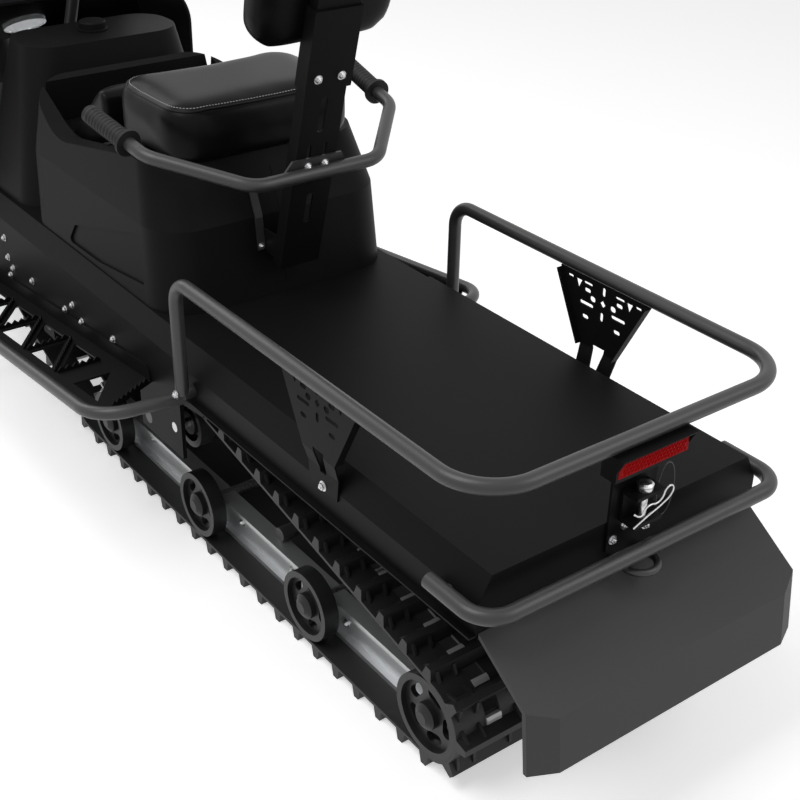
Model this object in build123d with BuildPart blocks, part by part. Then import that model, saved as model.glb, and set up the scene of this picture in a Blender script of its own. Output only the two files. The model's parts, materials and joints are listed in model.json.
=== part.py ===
from build123d import *
import math
import os

os.makedirs("parts", exist_ok=True)

# A long utility snowmobile. Nose towards -Y, its left side towards +X, ground at Z = 0.

# Clearances
FIT = 0.2  # between pieces that seat on each other
RUN = 6.0  # between a moving piece and its neighbours
PIN_GAP = 0.3  # round a hinge pin or a turning shaft

# Tunnel, a bent sheet over the track
SHEET = 3.0
DECK_Z = 485.0
DECK_REAR = 1375.0
DECK_HALF = 262.0
SIDE_HALF = 286.0
BEVEL_DROP = 45.0
SKIRT_DROP = 95.0
FLANGE = 12.0
EXTENSION_LENGTH = 815.0
LAP = 40.0
TUNNEL_FRONT = -560.0
REAR_WALL_DROP = 92.0

# Bent tubes
TUBE_R = 12.5
BUMPER_R = 13.0

# Load rack on the deck
RACK_HALF = 308.0
RACK_RISE = 150.0
RACK_BACK = 20.0
RACK_POST_BACK = 15.0
RACK_FOOT_DROP = 75.0
RACK_CORNER_R = 90.0
RACK_BEND_R = 45.0
PLATE_T = 3.0
PLATE_MID = 375.0
PLATE_TOP_HALF = 114.0
PLATE_FOLD_HALF = 45.0
PLATE_FOLD_DROP = 137.0
PLATE_FOOT_HALF = 38.0
PLATE_FOOT_DROP = 58.0
PLATE_FOOT_RISE = 40.0
PLATE_LIP = 12.0
# Slots in the plate: (to either side, below the tube's centre, length, width, turn)
PLATE_SLOTS = [
    (83.0, 20.0, 14.0, 5.0, 0),
    (39.0, 20.0, 22.0, 5.0, 0),
    (39.0, 33.0, 16.0, 8.0, 0),
    (25.0, 45.0, 14.0, 11.0, 0),
    (39.0, 59.0, 34.0, 7.0, 0),
    (39.0, 84.0, 16.0, 8.0, 0),
]
PLATE_UPRIGHT_SLOT = (17.0, 8.0)
PLATE_UPRIGHT_DROPS = (22.0, 70.0)
PLATE_DIAMOND = 10.0
PLATE_DIAMOND_DROP = 45.0
PLATE_WEDGE_AT = 62.0
PLATE_WEDGE_HALF = 8.0
PLATE_WEDGE_DROPS = (19.0, 37.0)
PLATE_FOOT_HOLE = (15.0, 8.0)

# Rear bumper, lamp and hitch
BUMPER_HALF = 305.0
BUMPER_DROP = 42.0
BUMPER_BACK = 40.0
BUMPER_REACH = 85.0
BUMPER_CORNER_R = 48.0
LAMP_WIDTH = 140.0
LAMP_HEIGHT = 31.0
LAMP_DEPTH = 30.0
LAMP_WALL = 5.0
LENS_DEPTH = 8.0
LAMP_PLATE_WIDTH = 92.0
LAMP_PLATE_T = 4.0
LAMP_PLATE_DROP = 52.0
LAMP_UNDER_TUBE = 1.0
VISOR_REACH = 12.0
VISOR_T = 4.0
HITCH_WIDTH = 56.0
HITCH_HEIGHT = 54.0
HITCH_DEPTH = 34.0
HITCH_T = 6.0
HITCH_Z = 512.0
HITCH_PIN_R = 6.0
TOW_LOOP_R = 6.0
TOW_LOOP_HALF = 28.0
TOW_LOOP_REACH = 58.0
TOW_LOOP_Z = 413.0

# Snow flap behind the track
FLAP_T = 7.0
FLAP_TOP_Z = 402.0
FLAP_HALF = 281.0
FLAP_BREAK_BACK = 128.0
FLAP_BREAK_Z = 318.0
FLAP_CREASE_HALF = 237.0
FLAP_EDGE_BACK = 105.0
FLAP_EDGE_Z = 334.0
FLAP_FOOT_BACK = 140.0
FLAP_FOOT_Z = 214.0

# Running boards, which slope down towards the nose; lengths run along the slope from the heel
BOARD_T = 4.0
BOARD_SLOPE = 6.5
BOARD_HEEL_Y = 400.0
BOARD_HEEL_Z = 349.0
BOARD_HALF = 450.0
BOARD_SOLID = 160.0
BOARD_PITCH = 156.0
BOARD_CELLS = 4
BOARD_TOE = 34.0
BOARD_EDGE = 22.0
BOARD_FAR = 35.0
BOARD_BAR = 22.0
BOARD_HEEL_GAP = 57.0
BOARD_TAIL = 69.0
BOARD_TAIL_IN = 46.0
BOARD_FLANGE = 30.0
BOARD_FLANGE_R = 18.0
BOARD_BEND_R = 75.0
BOARD_TUBE_BACK = 113.0
BOARD_SWEEP = 27.0
TOOTH_PITCH = 15.0
TOOTH_HEIGHT = 12.0
TOOTH_ROOT = 5.0
TOOTH_T = 3.0
SKIRT_UNDER_BOARD = 9.0
TUNNEL_SIDE_DROP = 265.0

# Track and the wheels inside it
TRACK_HALF = 250.0
BELT_T = 6.0
LUG_HEIGHT = 22.0
LUG_ROOT = 24.0
LUG_TIP = 12.0
LUG_PITCH = 64.0
WINDOW_IN = 160.0
WINDOW_OUT = 190.0
WINDOW_LENGTH = 27.0
IDLER_Y = 1224.0
IDLER_R = 75.0
CARRIER_Y = 475.0
CARRIER_Z = 280.0
CARRIER_R = 50.0
DRIVE_Y = -430.0
DRIVE_Z = 300.0
DRIVE_R = 75.0
NOSE_Y = 0.0
NOSE_R = 130.0
ROAD_WHEEL_R = 67.0
ROAD_WHEEL_YS = (95.0, 485.0, 873.0)
WHEEL_X = 235.0
WHEEL_WIDTH = 30.0
WHEEL_HOLES = 5
WHEEL_HUB_R = 24.0
TYRE_T = 12.0
WHEEL_WEB = 9.0
HUB_CAP = 8.0
HUB_CAP_EDGE = 5.0
AXLE_R = 10.0
SPROCKET_X = 110.0
SPROCKET_WIDTH = 60.0
DRIVE_SHAFT_R = 18.0

# Slide rails and their suspension
RAIL_X = 185.0
RAIL_HEIGHT = 74.0
RAIL_FLANGE = 34.0
RAIL_FLANGE_T = 9.0
RAIL_WEB = 9.0
RAIL_NOSE_ARC = 42.0
ARM_R = 14.0
ARM_X = 120.0
HANGER_T = 8.0
FRONT_ARM_Y = -110.0
FRONT_ARM_Z = 255.0
FRONT_ARM_FOOT_Y = 210.0
REAR_ARM_Y = 365.0
REAR_ARM_Z = 250.0
REAR_ARM_FOOT_Y = 690.0
SHOCK_R = 26.0
SHOCK_ROD_R = 9.0

# Seat: the tub's rim dips at the driver and rises to the tank; heights are above the tub's foot
TUB_REAR = 445.0
TUB_FRONT = -200.0
TUB_HALF = 257.0
TUB_CORNER_R = 85.0
TUB_WAIST_RISE = 158.0
TUB_WAIST_IN = 6.0
TUB_WAIST_LEAN = 18.0
TUB_TOP_RISE = 330.0
TUB_TOP_IN = 40.0
TUB_TOP_LEAN = 91.0
RIM_REAR_RISE = 268.0
RIM_KNEE_Y = 280.0
RIM_DIP_Y = -40.0
RIM_DIP_RISE = 208.0
RIM_FRONT_RISE = 292.0
RIM_DIP_R = 150.0
# Shallow recess in each side of the tub: (Y, height)
RECESS_OUTLINE = [(7.0, 10.0), (148.0, 13.0), (345.0, 38.0), (345.0, 141.0), (42.0, 56.0)]
RECESS_DEPTH = 5.0
RECESS_R = 8.0
CUSHION_SPLIT = 118.0
CUSHION_GAP = 30.0
CUSHION_CORNER_R = 70.0
CUSHION_CROWN_R = 28.0
PASSENGER_REAR = 412.0
PASSENGER_HALF = 205.0
PASSENGER_RISE = 378.0
DRIVER_HALF = 200.0
DRIVER_FRONT = -185.0
DRIVER_FLOOR_RISE = 160.0
DRIVER_FLOOR_REAR = -70.0
DRIVER_HOLLOW_Y = -95.0
DRIVER_HOLLOW_RISE = 194.0
DRIVER_HOLLOW_R = 60.0
DRIVER_FRONT_RISE = 208.0
DRIVER_BACK_RISE = 372.0
DRIVER_BACK_R = 22.0
STRAP_WIDTH = 24.0
STRAP_T = 3.0

# Backrest and passenger grab bar
POST_WIDTH = 85.0
POST_DEPTH = 28.0
POST_T = 4.0
POST_LEAN = 15.0
POST_FOOT_Y = 476.0
POST_FOOT_Z = 556.0
POST_LENGTH = 660.0
POST_BRACKET_RISE = 60.0
# Slots of the post: across, up the post, length, width
POST_SLOTS = [
    (0.0, 130.0, 64.0, 14.0),
    (17.0, 232.0, 72.0, 8.0),
    (-17.0, 232.0, 72.0, 8.0),
    (0.0, 326.0, 70.0, 14.0),
]
SLEEVE_START = 378.0
SLEEVE_LENGTH = 150.0
SLEEVE_T = 5.0
GRAB_Z = 757.0
GRAB_BEND_R = 60.0
GRAB_MID_HALF = 132.0
GRAB_OUT_HALF = 265.0
GRAB_OUT_Y = 414.0
GRAB_OUT_Z = 797.0
GRIP_HALF = 284.0
GRIP_Y = 244.0
GRIP_Z = 829.0
GRIP_R = 17.0
GRIP_LENGTH = 122.0
GRIP_CAP = 5.0
GRIP_FLANGE_R = 25.0
GRIP_FLANGE_T = 7.0
CLAMP_WIDTH = 148.0
CLAMP_TOP_WIDTH = 104.0
CLAMP_HEIGHT = 34.0
CLAMP_T = 4.0
PAD_HALF = 150.0
PAD_HEIGHT = 210.0
PAD_T = 58.0
PAD_START = 440.0
PAD_CORNER_R = 60.0
PAD_CROWN_R = 20.0

# Fuel tank with dash cover
TANK_FRONT = -500.0
TANK_HALF = 250.0
TANK_RISE = 330.0
TANK_TOP_HALF = 185.0
TANK_TOP_LEAN = 60.0
TANK_FRONT_LEAN = 70.0
TANK_CORNER_R = 70.0

# Front frame, engine and belly pan
BEAM_Y = -900.0
BEAM_Z = 300.0
BEAM_R = 32.0
FRAME_PLATE_T = 6.0
PAN_T = 6.0
PAN_FRONT = -1225.0
PAN_RISE = 140.0
PAN_HALF = 335.0
PAN_NOSE_HALF = 250.0
PAN_FLARE = 40.0
ENGINE_HALF = 190.0
ENGINE_LENGTH = 360.0
ENGINE_HEIGHT = 300.0
ENGINE_REAR = -640.0
NOSE_BUMPER_HALF = 200.0
NOSE_BUMPER_Y = -1315.0
NOSE_BUMPER_Z = 425.0
NOSE_BUMPER_BEND_R = 45.0

# Hood, screen and headlamps
HOOD_T = 6.0
HOOD_REAR = -530.0
HOOD_SHOULDER = -800.0
HOOD_REAR_TOP = 850.0
HOOD_SHOULDER_TOP = 815.0
HOOD_NOSE_TOP = 575.0
HOOD_HALF = 345.0
HOOD_TOP_R = 110.0
HOOD_NOSE_R = 70.0
LOUVRES = 5
LOUVRE_PITCH = 36.0
LOUVRE_LENGTH = 95.0
LOUVRE_WIDTH = 12.0
LOUVRE_TURN = 65.0
LOUVRE_Y = -665.0
LOUVRE_Z = 610.0
GRILLE_BARS = 3
GRILLE_PITCH = 24.0
GRILLE_LENGTH = 320.0
GRILLE_WIDTH = 11.0
GRILLE_DROP = 50.0
HINGE_R = 7.0
HINGE_KNUCKLE_R = 14.0
HINGE_HALF = 60.0
HINGE_LUG = 12.0
HINGE_AHEAD = 18.0
SCREEN_T = 4.0
SCREEN_R = 420.0
SCREEN_FOOT_Y = -740.0
SCREEN_LEAN = 24.0
SCREEN_RISE = 470.0
SCREEN_HALF = 210.0
SCREEN_TOP_HALF = 150.0
HEADLAMP_R = 58.0
HEADLAMP_X = 118.0
HEADLAMP_UP = 190.0
HEADLAMP_DEPTH = 20.0

# Steering
COLUMN_R = 14.0
COLUMN_SLEEVE_R = 24.0
COLUMN_FOOT_Y = -548.0
COLUMN_FOOT_Z = 640.0
COLUMN_LEAN = 26.0
COLUMN_SLEEVE_LENGTH = 120.0
COLUMN_LENGTH = 400.0
COLUMN_PLATE_T = 30.0
COLUMN_PLATE_DEPTH = 52.0
BAR_R = 11.0
BAR_HALF = 370.0
BAR_MID_HALF = 90.0
BAR_RISE = 45.0
BAR_BACK = 60.0
BAR_BEND_R = 40.0
BAR_GRIP_R = 16.0
BAR_GRIP_LENGTH = 120.0
BAR_PAD_HALF = 70.0
BAR_PAD_HEIGHT = 46.0
BAR_PAD_DEPTH = 56.0

# Ski legs and skis
SKI_X = 420.0
LEG_R = 20.0
SLEEVE_R = 33.0
SLEEVE_LOW_Z = 225.0
SLEEVE_TOP_Z = 420.0
SKI_PIVOT_Z = 100.0
SKI_BOLT_R = 8.0
LEG_FOOT_R = 28.0
LEG_FOOT_HALF = 22.0
LEG_COLLAR = 12.0
STEER_ARM_LENGTH = 110.0
STEER_ARM_T = 12.0
SKI_TAIL = -500.0
SKI_HALF = 80.0
SKI_T = 12.0
SKI_CURVE_Y = -1270.0
SKI_CURVE_R = 330.0
SKI_CURVE_ARC = 48.0
SKI_TIP_R = 62.0
SKI_RIB_X = 54.0
SKI_RIB_WIDTH = 14.0
SKI_RIB_RISE = 9.0
KEEL_HALF = 8.0
KEEL_DEPTH = 10.0
SADDLE_T = 8.0
SADDLE_LENGTH = 150.0
SADDLE_GAP = 1.0
SKI_LOOP_R = 8.0
SKI_LOOP_HALF = 55.0
SKI_LOOP_ARC = 36.0
SKI_LOOP_RISE = 105.0
SKI_LOOP_BACK = 45.0
SKI_LOOP_BEND_R = 30.0

# Sizes that follow from those above
EXTENSION_FRONT = DECK_REAR - EXTENSION_LENGTH
SKIRT_Z = DECK_Z - SKIRT_DROP
BEVEL_Z = DECK_Z - BEVEL_DROP
TUNNEL_IN = SHEET + FIT
TUNNEL_HALF = SIDE_HALF - TUNNEL_IN
TUNNEL_TOP = DECK_Z - TUNNEL_IN
TUNNEL_WALL = TUNNEL_HALF - SHEET - FIT
TUNNEL_SKIRT_Z = DECK_Z - TUNNEL_SIDE_DROP
BELT_Z = LUG_HEIGHT + BELT_T
REAR_FACE = DECK_REAR + FIT


def cross(y):
    """Plane across the machine at Y = y, drawn in X and Z, facing the nose."""
    return Plane(origin=(0, y, 0), x_dir=(1, 0, 0), z_dir=(0, -1, 0))


def side(x):
    """Plane along the machine at X = x, drawn in Y and Z, facing its left side."""
    return Plane(origin=(x, 0, 0), x_dir=(0, 1, 0), z_dir=(1, 0, 0))


def shifted(points, distance):
    """The open line of points moved to its left by a distance, with mitred corners."""
    ways = [(Vector(*b) - Vector(*a)).normalized() for a, b in zip(points, points[1:])]
    lefts = [Vector(-way.Y, way.X) for way in ways]
    moved = []
    for at, point in enumerate(points):
        before = lefts[max(at - 1, 0)]
        after = lefts[min(at, len(lefts) - 1)]
        step = (before + after) * (distance / (1 + before.dot(after)))
        moved.append((point[0] + step.X, point[1] + step.Y))
    return moved


def folded(points, thickness):
    """Closed outline of a bent sheet whose outer face follows the points."""
    inner = shifted(points, thickness)
    return [*points, *reversed(inner), points[0]]


def mirrored(points):
    """The points of one half with their mirror images, as one open line."""
    return [*points, *[(-x, z) for x, z in reversed(points)]]


def inset(triangle, distance):
    """The triangle with each side moved inwards by a distance."""
    a, b, c = (Vector(*corner) for corner in triangle)
    la, lb, lc = (c - b).length, (a - c).length, (b - a).length
    ring = la + lb + lc
    heart = (a * la + b * lb + c * lc) / ring
    radius = abs((b - a).cross(c - a).Z) / ring
    share = 1 - distance / radius
    return [tuple(heart + (corner - heart) * share)[:2] for corner in (a, b, c)]


# The outer face of the deck, its bevels and its sides, from the left skirt to the right
DECK_LINE = mirrored([(SIDE_HALF, BEVEL_Z), (DECK_HALF, DECK_Z)])
TUNNEL_LINE = shifted(mirrored([(SIDE_HALF, TUNNEL_SKIRT_Z), *DECK_LINE[:2]]), TUNNEL_IN)
TUNNEL_BEND_Z = shifted(TUNNEL_LINE, SHEET)[1][1] - FIT

# The running boards' upper face; its Y axis runs along the slope to the rear
board_up = Vector(0, -math.sin(math.radians(BOARD_SLOPE)), math.cos(math.radians(BOARD_SLOPE)))
board_along = Vector(0, board_up.Z, -board_up.Y)
board_plane = Plane(origin=(0, BOARD_HEEL_Y, BOARD_HEEL_Z), x_dir=(1, 0, 0), z_dir=board_up)

with BuildPart() as tunnel:
    with BuildSketch(cross(EXTENSION_FRONT + LAP)):
        with BuildLine():
            Polyline(*folded(TUNNEL_LINE, SHEET))
        make_face()
    extrude(amount=EXTENSION_FRONT + LAP - TUNNEL_FRONT)
    split(bisect_by=board_plane.offset(-SKIRT_UNDER_BOARD), keep=Keep.TOP)
tunnel.part.label = "tunnel"
export_step(tunnel.part, "parts/tunnel.step")

with BuildPart() as tunnel_extension:
    skirt = [(SIDE_HALF + FLANGE, SKIRT_Z), (SIDE_HALF, SKIRT_Z)]
    with BuildSketch(cross(DECK_REAR)):
        with BuildLine():
            Polyline(*folded(mirrored([*skirt, *DECK_LINE[:2]]), SHEET))
        make_face()
    extrude(amount=EXTENSION_LENGTH)
    with BuildSketch(cross(DECK_REAR)):
        with BuildLine():
            wall_z = DECK_Z - REAR_WALL_DROP
            Polyline(*mirrored([(SIDE_HALF, wall_z), *DECK_LINE[:2]]), close=True)
        make_face()
    extrude(amount=SHEET)
tunnel_extension.part.label = "tunnel_extension"
export_step(tunnel_extension.part, "parts/tunnel_extension.step")

# Load rack: one bent tube, bossed where its feet bolt to the tunnel's sides
rack_z = DECK_Z + RACK_RISE
rack_rear = DECK_REAR + RACK_BACK
rack_front = EXTENSION_FRONT + RACK_POST_BACK
rack_foot_z = DECK_Z - RACK_FOOT_DROP
with BuildPart() as rack_frame:
    half = [
        (RACK_HALF, rack_front, rack_foot_z),
        (RACK_HALF, rack_front, rack_z),
        (RACK_HALF, rack_rear, rack_z),
    ]
    with BuildLine() as run:
        path = [*half, *[(-x, y, z) for x, y, z in reversed(half)]]
        FilletPolyline(*path, radius=[RACK_BEND_R, RACK_CORNER_R, RACK_CORNER_R, RACK_BEND_R])
    with BuildSketch(Plane(origin=run.line @ 0, z_dir=run.line % 0)):
        Circle(TUBE_R)
    sweep()
    for hand in (1, -1):
        foot = Plane(
            origin=(hand * (SIDE_HALF + FIT), rack_front, rack_foot_z),
            z_dir=(hand, 0, 0),
        )
        with BuildSketch(foot):
            Circle(TUBE_R)
        extrude(amount=RACK_HALF - SIDE_HALF - FIT)
rack_frame.part.label = "rack_frame"
export_step(rack_frame.part, "parts/rack_frame.step")

# Slotted plates that brace the rack's side tubes
plate_y = DECK_REAR - PLATE_MID
plate_top = rack_z - math.sqrt(TUBE_R**2 - (TUBE_R - PLATE_T) ** 2) - 2 * FIT
plate_foot_z = DECK_Z - PLATE_FOOT_DROP
plate_fold_z = rack_z - PLATE_FOLD_DROP
plate_in = RACK_HALF - TUBE_R
plate_seat = SIDE_HALF + FIT
with BuildPart() as rack_plates:
    # The bent section, from under the tube to the foot on the tunnel's side
    with BuildSketch(cross(plate_y + PLATE_TOP_HALF)):
        with BuildLine():
            bend = [
                (plate_in, plate_top),
                (plate_in, plate_fold_z),
                (plate_seat, plate_foot_z + PLATE_FOOT_RISE),
                (plate_seat, plate_foot_z),
            ]
            Polyline(*folded(bend, PLATE_T))
        make_face()
    extrude(amount=2 * PLATE_TOP_HALF)
    # Its outline and cut-outs, seen from the side
    with BuildSketch(side(0)):
        with BuildLine():
            edge = [
                (PLATE_TOP_HALF, rack_z),
                (PLATE_FOLD_HALF, plate_fold_z),
                (PLATE_FOOT_HALF, plate_foot_z),
            ]
            Polyline(*[(plate_y + y, z) for y, z in mirrored(edge)], close=True)
        make_face()
        for across, drop, length, width, turn in PLATE_SLOTS:
            with Locations((plate_y - across, rack_z - drop), (plate_y + across, rack_z - drop)):
                SlotOverall(length, width, rotation=turn, mode=Mode.SUBTRACT)
        with Locations(*[(plate_y, rack_z - drop) for drop in PLATE_UPRIGHT_DROPS]):
            SlotOverall(*PLATE_UPRIGHT_SLOT, rotation=90, mode=Mode.SUBTRACT)
        with Locations((plate_y, rack_z - PLATE_DIAMOND_DROP)):
            Rectangle(PLATE_DIAMOND, PLATE_DIAMOND, rotation=45, mode=Mode.SUBTRACT)
        with Locations((plate_y - PLATE_WEDGE_AT, rack_z), (plate_y + PLATE_WEDGE_AT, rack_z)):
            wedge_top, wedge_tip = PLATE_WEDGE_DROPS
            Polygon(
                (-PLATE_WEDGE_HALF, -wedge_top),
                (0, -wedge_tip),
                (PLATE_WEDGE_HALF, -wedge_top),
                align=None,
                mode=Mode.SUBTRACT,
            )
        with Locations((plate_y, plate_fold_z)):
            hole_top, hole_foot = PLATE_FOOT_HOLE
            Polygon(
                (-hole_top, hole_foot),
                (-hole_foot, -PLATE_FOOT_HALF),
                (hole_foot, -PLATE_FOOT_HALF),
                (hole_top, hole_foot),
                align=None,
                mode=Mode.SUBTRACT,
            )
    extrude(amount=RACK_HALF, mode=Mode.INTERSECT)
    # Lips folded inboard along both slanted edges
    lip_top = plate_top - PLATE_T
    share = (rack_z - lip_top) / PLATE_FOLD_DROP
    lip_half = PLATE_TOP_HALF - share * (PLATE_TOP_HALF - PLATE_FOLD_HALF)
    front_lip = [(plate_y - lip_half, lip_top), (plate_y - PLATE_FOLD_HALF, plate_fold_z)]
    rear_lip = [(plate_y + PLATE_FOLD_HALF, plate_fold_z), (plate_y + lip_half, lip_top)]
    for lip in (front_lip, rear_lip):
        with BuildSketch(side(plate_in - PLATE_LIP)):
            with BuildLine():
                Polyline(*folded(lip, PLATE_T))
            make_face()
        extrude(amount=PLATE_LIP + PLATE_T)
    mirror(about=Plane.YZ)
rack_plates.part.label = "rack_plates"
export_step(rack_plates.part, "parts/rack_plates.step")

# Rear bumper
bumper_z = DECK_Z - BUMPER_DROP
bumper_y = DECK_REAR + BUMPER_BACK
bumper_front = DECK_REAR - BUMPER_REACH
with BuildPart() as rear_bumper:
    half = [(BUMPER_HALF, bumper_front, bumper_z), (BUMPER_HALF, bumper_y, bumper_z)]
    with BuildLine() as run:
        path = [*half, *[(-x, y, z) for x, y, z in reversed(half)]]
        FilletPolyline(*path, radius=BUMPER_CORNER_R)
    with BuildSketch(Plane(origin=run.line @ 0, z_dir=run.line % 0)):
        Circle(BUMPER_R)
    sweep()
    for hand in (1, -1):
        boss = Plane(
            origin=(hand * (SIDE_HALF + FIT), bumper_front + 2 * BUMPER_R, bumper_z - BUMPER_R / 2),
            z_dir=(hand, 0, 0),
        )
        with BuildSketch(boss):
            Circle(BUMPER_R / 2)
        extrude(amount=BUMPER_HALF - SIDE_HALF - FIT)
rear_bumper.part.label = "rear_bumper"
export_step(rear_bumper.part, "parts/rear_bumper.step")

# Lamp, its plate, the hitch and the tow loop on the rear wall
lamp_top = rack_z - TUBE_R - LAMP_UNDER_TUBE
lamp_plate_top = rack_z - TUBE_R - FIT
lamp_back = REAR_FACE + LAMP_PLATE_T + FIT
with BuildPart() as lamp_bracket:
    with BuildSketch(cross(REAR_FACE + LAMP_PLATE_T)):
        with Locations((0, DECK_Z - LAMP_PLATE_DROP)):
            Rectangle(
                LAMP_PLATE_WIDTH,
                lamp_plate_top - DECK_Z + LAMP_PLATE_DROP,
                align=(Align.CENTER, Align.MIN),
            )
    extrude(amount=LAMP_PLATE_T)
lamp_bracket.part.label = "lamp_bracket"
export_step(lamp_bracket.part, "parts/lamp_bracket.step")

with BuildPart() as lamp_housing:
    with BuildSketch(cross(lamp_back + LAMP_DEPTH)):
        with Locations((0, lamp_top)):
            Rectangle(
                LAMP_WIDTH + 2 * LAMP_WALL,
                LAMP_HEIGHT + 2 * LAMP_WALL,
                align=(Align.CENTER, Align.MAX),
            )
    extrude(amount=LAMP_DEPTH)
    with BuildSketch(cross(lamp_back + LAMP_DEPTH)):
        with Locations((0, lamp_top - LAMP_WALL)):
            Rectangle(LAMP_WIDTH, LAMP_HEIGHT, align=(Align.CENTER, Align.MAX))
    extrude(amount=LENS_DEPTH, mode=Mode.SUBTRACT)
    # A visor over the lens, with cheeks that taper down its sides
    with BuildSketch(side(-LAMP_WIDTH / 2 - LAMP_WALL)):
        with BuildLine():
            visor_y = lamp_back + LAMP_DEPTH
            Polyline(
                (visor_y - VISOR_T, lamp_top),
                (visor_y + VISOR_REACH, lamp_top),
                (visor_y - VISOR_T, lamp_top - LAMP_HEIGHT),
                close=True,
            )
        make_face()
    extrude(amount=LAMP_WIDTH + 2 * LAMP_WALL)
    with BuildSketch(Plane.XY.offset(lamp_top - VISOR_T)):
        with Locations((0, visor_y)):
            Rectangle(LAMP_WIDTH, 2 * LENS_DEPTH + 2 * VISOR_REACH)
    extrude(amount=-LAMP_HEIGHT - LAMP_WALL + VISOR_T, mode=Mode.SUBTRACT)
lamp_housing.part.label = "lamp_housing"
export_step(lamp_housing.part, "parts/lamp_housing.step")

with BuildPart() as lamp_lens:
    with BuildSketch(cross(lamp_back + LAMP_DEPTH)):
        with Locations((0, lamp_top - LAMP_WALL - LAMP_HEIGHT / 2)):
            Rectangle(LAMP_WIDTH - 2 * FIT, LAMP_HEIGHT - 2 * FIT)
    extrude(amount=LENS_DEPTH - FIT)
lamp_lens.part.label = "lamp_lens"
export_step(lamp_lens.part, "parts/lamp_lens.step")

with BuildPart() as hitch_bracket:
    with BuildSketch(side(-HITCH_WIDTH / 2)):
        with Locations((lamp_back, HITCH_Z)):
            Rectangle(HITCH_DEPTH, HITCH_HEIGHT, align=(Align.MIN, Align.CENTER))
        with Locations((lamp_back + HITCH_T, HITCH_Z)):
            Rectangle(
                HITCH_DEPTH,
                HITCH_HEIGHT - 2 * HITCH_T,
                align=(Align.MIN, Align.CENTER),
                mode=Mode.SUBTRACT,
            )
    extrude(amount=HITCH_WIDTH)
    with BuildSketch(Plane.XY.offset(HITCH_Z - HITCH_HEIGHT / 2)):
        with Locations((0, lamp_back + HITCH_DEPTH / 2 + HITCH_T / 2)):
            Circle(HITCH_PIN_R + FIT)
    extrude(amount=HITCH_HEIGHT, mode=Mode.SUBTRACT)
hitch_bracket.part.label = "hitch_bracket"
export_step(hitch_bracket.part, "parts/hitch_bracket.step")

with BuildPart() as hitch_pin:
    with BuildSketch(Plane.XY.offset(HITCH_Z - HITCH_HEIGHT / 2 - HITCH_T)):
        with Locations((0, lamp_back + HITCH_DEPTH / 2 + HITCH_T / 2)):
            Circle(HITCH_PIN_R)
    extrude(amount=HITCH_HEIGHT + 2 * HITCH_T)
    with BuildSketch(Plane.XY.offset(HITCH_Z + HITCH_HEIGHT / 2 + FIT)):
        with Locations((0, lamp_back + HITCH_DEPTH / 2 + HITCH_T / 2)):
            Circle(2 * HITCH_PIN_R)
    extrude(amount=HITCH_T)
hitch_pin.part.label = "hitch_pin"
export_step(hitch_pin.part, "parts/hitch_pin.step")

with BuildPart() as tow_loop:
    with BuildLine() as run:
        FilletPolyline(
            (TOW_LOOP_HALF, REAR_FACE, TOW_LOOP_Z),
            (TOW_LOOP_HALF, REAR_FACE + TOW_LOOP_REACH, TOW_LOOP_Z),
            (-TOW_LOOP_HALF, REAR_FACE + TOW_LOOP_REACH, TOW_LOOP_Z),
            (-TOW_LOOP_HALF, REAR_FACE, TOW_LOOP_Z),
            radius=TOW_LOOP_HALF - FIT,
        )
    with BuildSketch(Plane(origin=run.line @ 0, z_dir=run.line % 0)):
        Circle(TOW_LOOP_R)
    sweep()
tow_loop.part.label = "tow_loop"
export_step(tow_loop.part, "parts/tow_loop.step")

# Snow flap: a moulded sheet that falls back from the deck, breaks downwards and turns in at its sides
with BuildPart() as snow_flap:
    with BuildSketch(side(-FLAP_HALF)):
        with BuildLine():
            Polyline(
                (REAR_FACE, FLAP_TOP_Z),
                (DECK_REAR + FLAP_BREAK_BACK, FLAP_BREAK_Z),
                (DECK_REAR + FLAP_FOOT_BACK, FLAP_FOOT_Z),
                (REAR_FACE, FLAP_FOOT_Z),
                close=True,
            )
        make_face()
    extrude(amount=2 * FLAP_HALF)
    for hand in (1, -1):
        crease_x = hand * FLAP_CREASE_HALF
        crease = Vector(crease_x, DECK_REAR + FLAP_BREAK_BACK, FLAP_BREAK_Z)
        edge = Vector(hand * FLAP_HALF, DECK_REAR + FLAP_EDGE_BACK, FLAP_EDGE_Z)
        top = Vector(crease_x, REAR_FACE, FLAP_TOP_Z)
        foot = Vector(crease_x, DECK_REAR + FLAP_FOOT_BACK, FLAP_FOOT_Z)
        for far in (top, foot):
            outward = (edge - crease).cross(far - crease).normalized()
            if outward.Y < 0:
                outward = -outward
            split(bisect_by=Plane(origin=crease, z_dir=outward), keep=Keep.BOTTOM)
    front = snow_flap.faces().sort_by(Axis.Y)[0]
    below = snow_flap.faces().sort_by(Axis.Z)[0]
    sides = snow_flap.faces().filter_by(Axis.X)
    offset(amount=-FLAP_T, openings=[front, below, *sides])
snow_flap.part.label = "snow_flap"
export_step(snow_flap.part, "parts/snow_flap.step")

# Running boards: a truss of bars cut from plate, with an upturned row of teeth along each bar,
# a flange against the tunnel and a tube round the outer edge
board_in = TUNNEL_HALF + FIT
board_near = board_in + BOARD_EDGE
board_far = BOARD_HALF - BOARD_FAR
board_front = -BOARD_SOLID - BOARD_CELLS * BOARD_PITCH - BOARD_TOE
rungs = [-BOARD_SOLID - cell * BOARD_PITCH for cell in range(BOARD_CELLS)]
heel = -BOARD_SOLID + BOARD_HEEL_GAP + BOARD_PITCH
board_tail = (BOARD_HALF - BOARD_TAIL_IN, BOARD_TAIL)
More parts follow.
